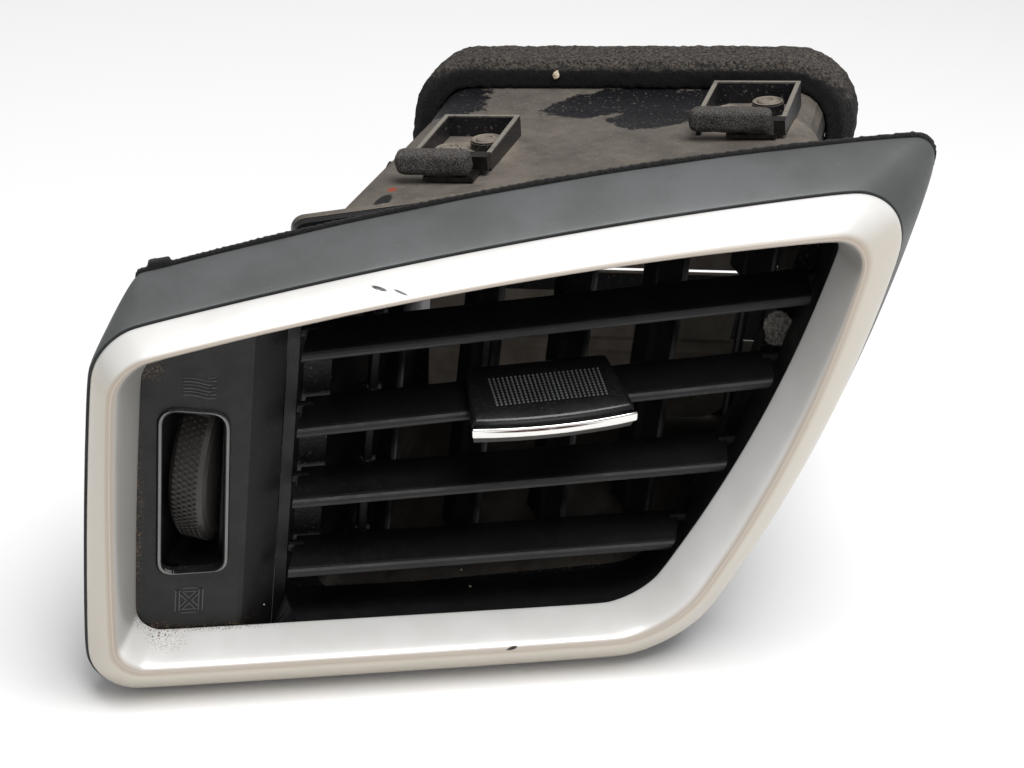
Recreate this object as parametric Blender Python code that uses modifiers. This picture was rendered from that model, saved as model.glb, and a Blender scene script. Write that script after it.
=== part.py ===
"""Left-hand dashboard air vent, built as separate pieces at real size.

X runs along the slats, Y runs into the dashboard and Z is up. Y = 0 is the crest of the
silver ring and Z = 0 is the surface that the vent stands on. Lengths are in millimetres
and turn to metres where a mesh is made.
"""
import bmesh
import bpy
from math import cos, hypot, pi, radians, sin, tan
from mathutils import Vector
from mathutils.bvhtree import BVHTree

MM = 0.001
GAP = 0.3            # space left between pieces that meet
WALL = 2.2           # moulded wall of the trim and of the louvre housing
DUCT_WALL = 2.6

# Face: corners (x, z) run bottom left, bottom right, top right, top left.
FACE_CORNERS = ((-91.5, 1.0), (53.0, 1.0), (93.0, 130.0), (-91.5, 95.5))
FACE_RADII = (13.0, 30.0, 15.0, 14.0)
FACE_BOWS = (0.0, 8.0, 4.1, 0.8)
CREST_CORNERS = ((-86.5, 11.6), (47.5, 11.6), (80.2, 121.5), (-88.5, 92.5))
CREST_RADII = (8.0, 26.0, 9.0, 11.0)
CREST_BOWS = (0.0, 6.5, 4.4, 0.8)
MOUTH_CORNERS = ((-80.5, 15.5), (42.0, 15.5), (77.8, 116.6), (-80.5, 89.5))
MOUTH_RADII = (7.0, 18.0, 4.0, 8.0)
MOUTH_BOWS = (0.0, 5.3, 4.6, 0.4)
PANEL_CORNERS = ((-84.8, 8.0), (42.0, 8.0), (77.8, 123.0), (-84.8, 93.0))
RING_DEPTH = 11.2    # crest to the ring's rear edge
RING_SKIRT = 9.2     # crest to the ring's outer edge

# Bezel: it flares from the ring back to this outline.
BEZEL_CORNERS = ((-81.0, 0.0), (62.0, 0.0), (105.5, 136.0), (-81.0, 103.0))
BEZEL_RADII = (12.0, 30.0, 7.0, 2.0)
BEZEL_BOWS = (0.0, 7.5, 5.0, 0.5)
BEZEL_DEPTH = 25.0
LIP = 5.5            # ledge under the ring
FELT_DEPTH = 0.8
TAB = (2.6, 6.0, 1.2)    # tab at the rear left corner: in from the corner, width, height

# Louvre housing
HOUSING_FRONT = 11.6
HOUSING_LEFT_FRONT = BEZEL_DEPTH - 2.7
HOUSING_REAR = BEZEL_DEPTH + 4.2
FLANGE = 2.0
THROAT_CORNERS = ((-44.0, 14.6), (42.9, 14.6), (79.0, 117.6), (-44.0, 99.6))
THROAT_RADII = (2.0, 18.0, 4.0, 2.0)
THROAT_BOWS = (0.0, 5.3, 2.9, 0.0)
REAR_THROAT_CORNERS = ((-41.5, 12.0), (49.5, 12.0), (84.0, 121.5), (-41.5, 103.0))
REAR_THROAT_BOWS = (0.0, 5.0, 2.0, 0.0)
RIM_CORNERS = ((-46.7, 4.6), (50.3, 4.6), (89.3, 126.0), (-46.7, 103.4))
RIM_RADII = (2.0, 26.0, 10.0, 2.0)
RIM_BOWS = (0.0, 7.0, 2.9, 0.0)
FLANGE_CORNERS = ((-46.0, 5.0), (61.0, 6.0), (91.0, 131.4), (-46.0, 112.6))
FLANGE_RADII = (3.0, 20.0, 6.0, 3.0)
FLANGE_BOWS = (0.0, 5.0, 0.0, 0.0)

# Rear duct: turned about Z, its roof rises to the right and falls to the rear.
TURN = radians(27.0)
ROOF_POINT = Vector((23.3, 28.0, 121.4))
ROOF_RISE = 0.191
ROOF_FALL = 0.069
DUCT_LEFT = -37.5
DUCT_RIGHT = 82.0
DUCT_FLOOR = (8.0, 12.0)     # left and right
DUCT_FLOOR_RIGHT = 52.0
DUCT_RADII = (8.0, 18.0, 6.0, 5.0)
DUCT_BOWS = (0.0, 5.0, 0.0, 0.0)
NECK_START = 62.0            # along the duct from the roof point
NECK_END = 91.5
NECK_LEFT = -56.0
NECK_RIGHT = (39.0, 46.0)    # at the floor and at the roof
NECK_HEIGHT = 96.0
NECK_RADIUS = 10.0
SEAL_THICKNESS = 7.0
SEAL_START = 77.0
SEAL_END = 93.0

# Slats, top one first
SLAT_TOP = 90.7              # height of the top slat's axis at x = 0
SLAT_PITCH = 20.65
SLAT_SLOPES = (5.5, 4.6, 2.8, 1.5)
SLAT_FRONT = 13.0
SLAT_REAR = BEZEL_DEPTH + 3.4
SLAT_AXIS = BEZEL_DEPTH
SLAT_NOSE = 1.35             # radius of the front edge
SLAT_TAIL = 0.8
SLAT_LEFT = (-45.2, -40.6)   # left end at the front and at the rear
SLAT_END_GAP = 2.0
PIN = 1.4                    # radius of the slats' pivots
CRANK_X = -27.0              # the slats' crank arms
CRANK_REACH = 6.0
CRANK_PIN = 1.0

# Knob on the second slat
KNOB_X = 13.0
KNOB_FRONT = 4.4
KNOB_REAR = SLAT_AXIS
KNOB_WIDTH = (39.5, 34.5)    # front and back
KNOB_TOP = (2.6, 7.0)        # above the slat's axis, front and back
KNOB_BOTTOM = -2.4
CHROME_HEIGHT = 3.2

# Upright vanes
VANE_PIVOTS = 5
VANE_FIRST = -19.0
VANE_PITCH = 22.4
VANE_AXIS_Y = HOUSING_REAR + 13.8
VANE_CHORD = 20.0
VANE_FRONT = 10.5            # chord in front of the pivot
VANE_TURN = radians(-10.0)   # rear edge towards +X is positive
VANE_RANGE = (radians(-20.0), radians(25.0))
VANE_THICKNESS = 1.8
VANE_PIN = 1.2
FORK_REACH = 9.5             # vane axis to the pin that the knob's fork holds
FORK_PIN = 1.4
FORK_SLACK = 0.7             # each side, as the tilted fork shifts along the pin
FORK_WINDOW = 7.4            # half height of the driven vane's cut-out behind the pin
DRIVEN_VANE = 1

# Thumbwheel and its window; u, v are measured across and along the duct
WINDOW_CORNERS = ((-75.1, 31.3), (-60.7, 31.5), (-61.7, 73.4), (-75.8, 75.3))
WHEEL_CENTRE = (-75.9, -34.0, 52.6)
WHEEL_RADIUS = 22.0
WHEEL_WIDTH = 9.0
HUB = 5.0
CRANK_ARM = 8.0
ARM_LEAN = radians(-40.0)    # the arms lean to the front while the flaps are shut
ROD_PLANE = -64.3            # u of the drive rod's middle
LOOSE_HOLE = 2.1             # holes whose pins stand a little askew

# Shut-off flaps
FLAP_AXIS = 68.0
FLAP_GAP = 0.8       # left between the flaps and the neck
FLAP_THICKNESS = 2.0
SHAFT = 2.0

ARC_STEPS = 6
SIDE_STEPS = 6


def new_collection(name):
    group = bpy.data.collections.new(name)
    bpy.context.scene.collection.children.link(group)
    return group


for old in list(bpy.data.objects):
    bpy.data.objects.remove(old, do_unlink=True)
PARTS = new_collection("dashboard_air_vent")
TOOLS = new_collection("cutters")
TOOLS.hide_render = True


def material(name, colour, roughness, metallic=0.0):
    """Make a plain Principled material from a linear colour."""
    made = bpy.data.materials.new(name)
    made.use_nodes = True
    shader = made.node_tree.nodes["Principled BSDF"]
    shader.inputs["Base Color"].default_value = (*colour, 1.0)
    shader.inputs["Roughness"].default_value = roughness
    shader.inputs["Metallic"].default_value = metallic
    return made


SOFT_TOUCH = material("soft_touch_slate", (0.10, 0.125, 0.14), 0.62)
SILVER = material("satin_silver_paint", (0.62, 0.60, 0.57), 0.32, 0.6)
BLACK = material("grained_black_abs", (0.018, 0.018, 0.019), 0.5)
LOUVRE = material("louvre_black_pp", (0.022, 0.022, 0.023), 0.55)
DUSTY = material("dusty_black_duct", (0.05, 0.045, 0.038), 0.75)
FLAP = material("dusty_flap", (0.09, 0.08, 0.065), 0.8)
FOAM = material("black_open_foam", (0.02, 0.02, 0.02), 0.95)
FELT = material("black_felt", (0.01, 0.01, 0.01), 0.95)
CHROME = material("bright_chrome", (0.80, 0.80, 0.80), 0.08, 1.0)
LINK = material("natural_black_pom", (0.03, 0.03, 0.03), 0.4)
CLIP = material("phosphated_spring_steel", (0.04, 0.04, 0.042), 0.45, 0.8)
SCREW = material("zinc_plated_screw", (0.45, 0.44, 0.40), 0.35, 1.0)

U = Vector((cos(TURN), -sin(TURN), 0.0))
V = Vector((sin(TURN), cos(TURN), 0.0))
Z = Vector((0.0, 0.0, 1.0))
Y = Vector((0.0, 1.0, 0.0))
ROOF_A = (U + Z * ROOF_RISE).normalized()
ROOF_B = (V - Z * ROOF_FALL)
ROOF_B = (ROOF_B - ROOF_A * ROOF_A.dot(ROOF_B)).normalized()
ROOF_C = ROOF_A.cross(ROOF_B)


def at_duct(u, v, z):
    """Point at u across and v along the duct, at height z."""
    return Vector((ROOF_POINT.x, ROOF_POINT.y, 0.0)) + U * u + V * v + Z * z


def on_roof(a, b, c):
    """Point on the roof's plane: a to the right, b to the rear, c above it."""
    return ROOF_POINT + ROOF_A * a + ROOF_B * b + ROOF_C * c


def roof_height(x, y):
    across = (Vector((x, y, 0.0)) - ROOF_POINT).dot(U)
    along = (Vector((x, y, 0.0)) - ROOF_POINT).dot(V)
    return ROOF_POINT.z + ROOF_RISE * across - ROOF_FALL * along


def outline(corners, radii, bows):
    """Closed outline of four bowed sides with rounded corners, as 2D vectors."""
    corners = [Vector(c) for c in corners]

    def side(i, t):
        a, b = corners[i], corners[(i + 1) % 4]
        along = b - a
        out = Vector((along.y, -along.x)).normalized()
        return a + along * t + out * (4 * bows[i] * t * (1 - t))

    def heading(i, t):
        return (side(i, t + 0.001) - side(i, t - 0.001)).normalized()

    trims = []
    for i in range(4):
        turn = heading(i - 1, 1.0).angle(heading(i, 0.0))
        trims.append(radii[i] * tan(turn / 2))
    starts = [trims[i] / (corners[(i + 1) % 4] - corners[i]).length for i in range(4)]
    ends = [1 - trims[(i + 1) % 4] / (corners[(i + 1) % 4] - corners[i]).length for i in range(4)]
    points = []
    for i in range(4):
        before, after = side(i - 1, ends[i - 1]), side(i, starts[i])
        d0, d1 = heading(i - 1, ends[i - 1]), -heading(i, starts[i])
        span = after - before
        cross = d0.x * d1.y - d0.y * d1.x
        reach = (span.x * d1.y - span.y * d1.x) / cross
        apex = before + d0 * reach
        for k in range(ARC_STEPS + 1):
            t = k / ARC_STEPS
            h0 = before.lerp(apex, 0.55)
            h1 = after.lerp(apex, 0.55)
            points.append(before * (1 - t) ** 3 + h0 * 3 * t * (1 - t) ** 2
                          + h1 * 3 * t * t * (1 - t) + after * t ** 3)
        for k in range(1, SIDE_STEPS):
            points.append(side(i, starts[i] + (ends[i] - starts[i]) * k / SIDE_STEPS))
    return points


def grown(points, distance):
    """Outline moved outwards by a distance."""
    moved = []
    for i, point in enumerate(points):
        along = (points[(i + 1) % len(points)] - points[i - 1]).normalized()
        moved.append(point + Vector((along.y, -along.x)) * distance)
    return moved


def mixed(a, b, t):
    return [p.lerp(q, t) for p, q in zip(a, b)]


def at_depth(points, y):
    """Place an outline at one depth, or at a depth that follows x."""
    depth = y if callable(y) else lambda x: y
    return [Vector((p.x, depth(p.x), p.y)) for p in points]


def across_duct(points, v):
    return [at_duct(p.x, v, p.y) for p in points]


def mesh_object(name, points, faces, paint, group=PARTS, origin=(0, 0, 0)):
    shift = Vector(origin)
    mesh = bpy.data.meshes.new(name)
    mesh.from_pydata([(Vector(p) - shift) * MM for p in points], [], faces)
    work = bmesh.new()
    work.from_mesh(mesh)
    bmesh.ops.recalc_face_normals(work, faces=work.faces)
    work.to_mesh(mesh)
    work.free()
    made = bpy.data.objects.new(name, mesh)
    made.location = shift * MM
    group.objects.link(made)
    if paint:
        mesh.materials.append(paint)
    if group is TOOLS:
        made.display_type = 'WIRE'
        made.hide_render = True
    return made


def soften(made, angle=35.0):
    made.data.shade_smooth()
    made.data.set_sharp_from_angle(angle=radians(angle))
    return made


def ring_loft(name, loops, paint, group=PARTS, origin=(0, 0, 0)):
    """Closed ring: each loop joins the next, and the last joins the first."""
    count = len(loops[0])
    points = [p for loop in loops for p in loop]
    faces = []
    for k in range(len(loops)):
        for i in range(count):
            a, b = k * count, (k + 1) % len(loops) * count
            j = (i + 1) % count
            faces.append((a + i, a + j, b + j, b + i))
    return mesh_object(name, points, faces, paint, group, origin)


def capped_loft(name, loops, paint, group=PARTS, origin=(0, 0, 0)):
    """Solid through a row of loops with flat ends."""
    count = len(loops[0])
    points = [p for loop in loops for p in loop]
    faces = [tuple(range(count)), tuple(range(len(points) - count, len(points)))]
    for k in range(len(loops) - 1):
        for i in range(count):
            a, b = k * count, (k + 1) * count
            j = (i + 1) % count
            faces.append((a + i, a + j, b + j, b + i))
    return mesh_object(name, points, faces, paint, group, origin)


def block(name, low, high, paint=None, group=PARTS, place=None, origin=(0, 0, 0)):
    """Box between two corners; place turns box coordinates into vent coordinates."""
    place = place or (lambda x, y, z: Vector((x, y, z)))
    loops = []
    for z in (low[2], high[2]):
        loops.append([place(x, y, z) for x, y in ((low[0], low[1]), (high[0], low[1]),
                                                  (high[0], high[1]), (low[0], high[1]))])
    return capped_loft(name, loops, paint, group, origin)


def circle(centre, axis, radius, sides):
    side = axis.orthogonal().normalized()
    other = axis.cross(side).normalized()
    return [centre + side * (radius * cos(2 * pi * k / sides))
            + other * (radius * sin(2 * pi * k / sides)) for k in range(sides)]


def rods(name, pieces, paint=None, group=TOOLS, sides=12, origin=(0, 0, 0)):
    """Round bars as one object; each piece is (start, end, radius)."""
    points, faces = [], []
    for start, end, radius in pieces:
        base = len(points)
        axis = (end - start).normalized()
        for centre in (start, end):
            points += circle(centre, axis, radius, sides)
        faces += [tuple(range(base, base + sides)), tuple(range(base + sides, base + 2 * sides))]
        for i in range(sides):
            j = (i + 1) % sides
            faces.append((base + i, base + j, base + sides + j, base + sides + i))
    return mesh_object(name, points, faces, paint, group, origin)


def turned(name, profile, centre, axis, paint, sides=48, group=PARTS):
    """Turn a profile of (radius, distance along the axis) about the axis."""
    work = bmesh.new()
    made = [work.verts.new((r * MM, 0.0, h * MM)) for r, h in profile]
    edges = [work.edges.new(pair) for pair in zip(made, made[1:])]
    bmesh.ops.spin(work, geom=made + edges, cent=(0, 0, 0), axis=(0, 0, 1),
                   angle=2 * pi, steps=sides, use_merge=True)
    bmesh.ops.remove_doubles(work, verts=work.verts, dist=0.00001)
    bmesh.ops.recalc_face_normals(work, faces=work.faces)
    turn = Z.rotation_difference(axis).to_matrix()
    bmesh.ops.transform(work, matrix=turn.to_4x4(), verts=work.verts)
    mesh = bpy.data.meshes.new(name)
    work.to_mesh(mesh)
    work.free()
    mesh.materials.append(paint)
    solid = bpy.data.objects.new(name, mesh)
    solid.location = Vector(centre) * MM
    group.objects.link(solid)
    return soften(solid)


def combine(target, tool, operation):
    step = target.modifiers.new(tool.name, 'BOOLEAN')
    step.operation = operation
    step.solver = 'EXACT'
    step.object = tool
    return target


def bevel(made, width, segments=2, angle=40.0):
    step = made.modifiers.new("edges", 'BEVEL')
    step.width = width * MM
    step.segments = segments
    step.limit_method = 'ANGLE'
    step.angle_limit = radians(angle)
    return made


def surface(loops):
    """Ray target for a ring loft, in millimetres."""
    count = len(loops[0])
    points = [p for loop in loops for p in loop]
    faces = []
    for k in range(len(loops) - 1):
        for i in range(count):
            j = (i + 1) % count
            faces.append((k * count + i, k * count + j, (k + 1) * count + j))
            faces.append((k * count + i, (k + 1) * count + j, (k + 1) * count + i))
    return BVHTree.FromPolygons(points, faces)


def hit(tree, start, direction):
    return tree.ray_cast(Vector(start), Vector(direction).normalized())[0]


def smooth_y(x):
    """Share of the way from the housing's front to the set-back left end."""
    return min(1.0, max(0.0, (-42.5 - x) / 1.5))


face = outline(FACE_CORNERS, FACE_RADII, FACE_BOWS)
crest = outline(CREST_CORNERS, CREST_RADII, CREST_BOWS)
mouth = outline(MOUTH_CORNERS, MOUTH_RADII, MOUTH_BOWS)
rear_edge = outline(BEZEL_CORNERS, BEZEL_RADII, BEZEL_BOWS)
throat = outline(THROAT_CORNERS, THROAT_RADII, THROAT_BOWS)
rear_throat = outline(REAR_THROAT_CORNERS, THROAT_RADII, REAR_THROAT_BOWS)
rim = outline(RIM_CORNERS, RIM_RADII, RIM_BOWS)
flange = outline(FLANGE_CORNERS, FLANGE_RADII, FLANGE_BOWS)


def build_ring():
    """Silver ring: a thin shell whose front climbs to the crest and falls to the mouth."""
    front = [(face, RING_SKIRT), (face, 7.2), (mixed(face, crest, 0.3), 4.3),
             (mixed(face, crest, 0.7), 1.3), (mixed(face, crest, 0.92), 0.15),
             (mixed(crest, mouth, 0.1), 0.0), (mixed(crest, mouth, 0.3), 1.2),
             (mixed(crest, mouth, 0.65), 5.5), (mouth, RING_DEPTH - 0.6), (mouth, RING_DEPTH)]
    back = [(grown(mouth, 1.8), RING_DEPTH), (grown(mixed(crest, mouth, 0.65), 1.8), 6.4),
            (grown(mixed(crest, mouth, 0.3), 1.2), 3.3), (mixed(face, crest, 0.88), 2.7),
            (mixed(face, crest, 0.6), 4.7), (grown(face, -1.8), RING_SKIRT)]
    loops = [at_depth(points, y) for points, y in front + back]
    return soften(ring_loft("trim_ring", loops, SILVER))


def build_bezel():
    """Soft-touch trim: a flaring shell with a ledge that the ring sits on."""
    seat = RING_SKIRT + GAP
    lip_back = RING_DEPTH
    middle = mixed(grown(face, 0.9), rear_edge, 0.5)
    loops = [at_depth(points, y) for points, y in (
        (grown(face, 0.4), 8.5), (grown(face, 0.9), 9.3), (grown(middle, 0.5), 16.5),
        (rear_edge, BEZEL_DEPTH), (grown(rear_edge, -WALL), BEZEL_DEPTH),
        (grown(middle, 0.5 - WALL), 17.0), (grown(face, -0.8), lip_back + 0.5),
        (grown(face, -LIP), lip_back), (grown(face, -LIP), seat), (grown(face, 0.4), seat))]
    # The bottom of the flare stays flat on the surface that the vent stands on.
    for loop in loops[1:4]:
        for point in loop:
            point.z = max(point.z, 0.0)
    return soften(ring_loft("bezel", loops, SOFT_TOUCH))


def build_felt():
    """Felt tape on the bezel's rear edge, with a tab at its left corner."""
    start, end = BEZEL_DEPTH + GAP, BEZEL_DEPTH + GAP + FELT_DEPTH
    loops = [at_depth(grown(rear_edge, -inset), y)
             for inset, y in ((0.15, start), (0.15, end), (WALL - 0.2, end), (WALL - 0.2, start))]
    tape = ring_loft("edge_felt", loops, FELT)
    right, left = (Vector(corner) for corner in BEZEL_CORNERS[2:])
    along = (right - left).normalized()
    up = Vector((-along.y, along.x))
    shape = [left + along * (TAB[0] + a) + up * b for a, b in (
        (0.0, -1.2), (TAB[1], -1.2), (TAB[1] - 0.7, TAB[2]), (0.7, TAB[2]))]
    tab = capped_loft("felt_tab", [at_depth(shape, y) for y in (start, end + 1.0)], None, TOOLS)
    return combine(tape, tab, 'UNION')


def build_panel():
    """Fascia panel: flat at the left, folded back at the right, with the wheel's window."""
    front = RING_DEPTH + GAP
    low, high = -5.0, 115.0
    fold = [(-95.0, front), (-57.2, front), (-55.8, front + 0.6), (-47.3, 20.0),
            (-48.7, 21.4), (-57.4, front + WALL), (-95.0, front + WALL)]
    sheet = capped_loft("fascia_panel", [[Vector((x, y, z)) for x, y in fold]
                                         for z in (low, high)], BLACK)
    reach = outline(PANEL_CORNERS, MOUTH_RADII, (0.0,) * 4)
    trim = capped_loft("panel_outline", [at_depth(reach, y) for y in (2.0, 30.0)], None, TOOLS)
    window = outline(WINDOW_CORNERS, (3.0, 3.0, 3.0, 3.0), (0.0, 0.0, 0.0, 0.0))
    frame = [(grown(window, -1.5), front - 0.5), (grown(window, 0.9), front - 0.5),
             (grown(window, 1.5), front + 0.5), (grown(window, 1.5), front + 1.2),
             (grown(window, -1.5), front + 1.2)]
    raised = ring_loft("window_rim", [at_depth(p, y) for p, y in frame], None, TOOLS)
    hole = capped_loft("window_hole", [at_depth(window, y) for y in (front - 4, front + 6)],
                       None, TOOLS)
    combine(sheet, trim, 'INTERSECT')
    combine(sheet, raised, 'UNION')
    return soften(combine(sheet, hole, 'DIFFERENCE'), 30.0)


def housing_depth(front):
    step = HOUSING_LEFT_FRONT - HOUSING_FRONT
    return lambda x: front + step * smooth_y(x)


housing_inside = [at_depth(throat, housing_depth(HOUSING_FRONT)),
                  at_depth(rear_throat, HOUSING_REAR)]
housing_walls = surface(housing_inside)
DUCT_FRONT = HOUSING_REAR + GAP
duct_outer = outline(((DUCT_LEFT, DUCT_FLOOR[0]), (DUCT_FLOOR_RIGHT, DUCT_FLOOR[1]),
                      (DUCT_RIGHT, roof_height(DUCT_RIGHT, DUCT_FRONT)),
                      (DUCT_LEFT, roof_height(DUCT_LEFT, DUCT_FRONT))), DUCT_RADII, DUCT_BOWS)


def neck_roof(u):
    return ROOF_POINT.z + ROOF_RISE * u - ROOF_FALL * NECK_END


neck = outline(((NECK_LEFT, neck_roof(NECK_LEFT) - NECK_HEIGHT),
                (NECK_RIGHT[0], neck_roof(NECK_RIGHT[0]) - NECK_HEIGHT),
                (NECK_RIGHT[1], neck_roof(NECK_RIGHT[1])), (NECK_LEFT, neck_roof(NECK_LEFT))),
               (NECK_RADIUS,) * 4, (0.0,) * 4)
duct_inside = [at_depth(grown(duct_outer, -DUCT_WALL), DUCT_FRONT),
               across_duct(grown(neck, -DUCT_WALL), NECK_START),
               across_duct(grown(neck, -DUCT_WALL), NECK_END)]
duct_outside = [at_depth(duct_outer, DUCT_FRONT + FLANGE), across_duct(neck, NECK_START),
                across_duct(neck, NECK_END)]
duct_walls = surface(duct_inside)
duct_skin = surface(duct_outside)


class Slat:
    """Places that belong to one slat, worked out before its solid is made."""

    def __init__(self, index):
        self.name = f"slat_{index + 1}"
        self.slope = radians(SLAT_SLOPES[index])
        self.base = SLAT_TOP - SLAT_PITCH * index
        self.along = Vector((cos(self.slope), 0.0, sin(self.slope)))
        self.left_wall = hit(housing_walls, self.point(0, SLAT_AXIS), -self.along).x
        self.right_wall = hit(housing_walls, self.point(0, SLAT_AXIS), self.along).x

    def point(self, x, y, lift=0.0):
        return Vector((x, y, self.base + x * tan(self.slope) + lift))

    def right_end(self, y, lift):
        start = self.point(0, max(y, HOUSING_FRONT + 0.5), lift)
        return hit(housing_walls, start, self.along).x - SLAT_END_GAP

    def left_end(self, y):
        t = (y - SLAT_FRONT) / (SLAT_REAR - SLAT_FRONT)
        return SLAT_LEFT[0] + (SLAT_LEFT[1] - SLAT_LEFT[0]) * t


slats = [Slat(i) for i in range(len(SLAT_SLOPES))]


def slat_section():
    """Slat's section as (y, lift): round nose, flat flanks, thin tail."""
    nose = [(SLAT_FRONT + SLAT_NOSE - SLAT_NOSE * cos(a), SLAT_NOSE * sin(a))
            for a in [radians(-90 + 30 * k) for k in range(7)]]
    tail = [(SLAT_REAR - SLAT_TAIL + SLAT_TAIL * cos(a), SLAT_TAIL * sin(a))
            for a in [radians(90 - 45 * k) for k in range(5)]]
    return nose + tail


def build_slat(slat, knob_pin=False):
    left = [slat.point(slat.left_end(y), y, h) for y, h in slat_section()]
    right = [slat.point(slat.right_end(y, h), y, h) for y, h in slat_section()]
    axis = slat.point(0, SLAT_AXIS)
    blade = soften(capped_loft(slat.name, [left, right], LOUVRE, origin=axis))
    inner_left = slat.left_end(SLAT_AXIS) + 2.0
    inner_right = slat.right_end(SLAT_AXIS, 0.0) - 2.0
    pins = rods(slat.name + "_pins", [
        (slat.point(slat.left_wall - WALL - 0.3, SLAT_AXIS), slat.point(inner_left, SLAT_AXIS), PIN),
        (slat.point(inner_right, SLAT_AXIS), slat.point(slat.right_wall + 2.6, SLAT_AXIS), PIN)])
    arm_back = SLAT_AXIS + CRANK_REACH
    arm = block(slat.name + "_arm", (CRANK_X - 0.9, SLAT_REAR - 2.0, -0.7),
                (CRANK_X + 0.9, arm_back + 1.0, 0.7), None, TOOLS,
                lambda x, y, z: slat.point(x, y, z))
    crank = rods(slat.name + "_crank", [(slat.point(CRANK_X, arm_back),
                                         slat.point(CRANK_X + 4.4, arm_back), CRANK_PIN)])
    for piece in (pins, arm, crank):
        combine(blade, piece, 'UNION')
    return blade


def build_slat_link():
    """Flat bar behind the slats, with a hole for each crank pin."""
    y = SLAT_AXIS + CRANK_REACH
    x = CRANK_X + 2.4
    top, bottom = slats[0].point(x, y), slats[-1].point(x, y)
    bar = block("slat_link", (x - 1.0, y - 1.9, bottom.z - 2.4), (x + 1.0, y + 1.9, top.z + 2.4),
                LINK, origin=slats[0].point(x, y))
    bevel(bar, 0.4)
    holes = rods("slat_link_holes", [(s.point(x - 3, y), s.point(x + 3, y), CRANK_PIN + GAP)
                                     for s in slats])
    return combine(bar, holes, 'DIFFERENCE')


def build_housing():
    front = housing_depth(HOUSING_FRONT)
    behind = housing_depth(HOUSING_FRONT + 1.8)
    flange_front = HOUSING_REAR - FLANGE
    waist = (flange_front - HOUSING_FRONT) / (HOUSING_REAR - HOUSING_FRONT)
    loops = housing_inside + [
        at_depth(flange, HOUSING_REAR), at_depth(flange, flange_front),
        at_depth(grown(mixed(throat, rear_throat, waist), WALL), flange_front),
        at_depth(grown(throat, WALL), behind), at_depth(rim, behind), at_depth(rim, front)]
    body = ring_loft("louvre_housing", loops, LOUVRE)
    bores = []
    for slat in slats:
        for wall, way in ((slat.left_wall, -1), (slat.right_wall, 1)):
            bores.append((slat.point(wall - way * 2.5, SLAT_AXIS),
                          slat.point(wall + way * 5.5, SLAT_AXIS), PIN + GAP))
    combine(body, rods("slat_bores", bores), 'DIFFERENCE')
    screws = [(p - Y * (FLANGE + 1.6), p + Y * 5, 1.5) for p in screw_places()]
    return soften(combine(body, rods("housing_screw_holes", screws), 'DIFFERENCE'), 30.0)


def screw_places():
    """Four places on the flange, outside the duct's walls."""
    edge = grown(duct_outer, 4.6)
    left = FLANGE_CORNERS[0][0] + 2.3
    right = [p for p in edge if p.x > 50 and 20 < p.y < 118]
    low = min(right, key=lambda p: abs(p.y - 30))
    high = min(right, key=lambda p: abs(p.y - 105))
    return [Vector((left, DUCT_FRONT, 14.0)), Vector((left, DUCT_FRONT, 100.0)),
            Vector((low.x, DUCT_FRONT, low.y)), Vector((high.x, DUCT_FRONT, high.y))]


def build_screws():
    """Four screws of one shape; their heads press on the duct's flange."""
    for k, place in enumerate(screw_places()):
        head_base = place + Y * (FLANGE + GAP)
        profile = [(0.0, 2.1), (1.2, 2.1), (2.4, 1.5), (2.8, 0.6), (2.8, 0.0), (1.2, 0.0),
                   (1.2, -2 * FLANGE - 1.4), (0.0, -2 * FLANGE - 1.4)]
        turned(f"duct_screw_{k + 1}", profile, head_base, Y, SCREW, 12)


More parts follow.
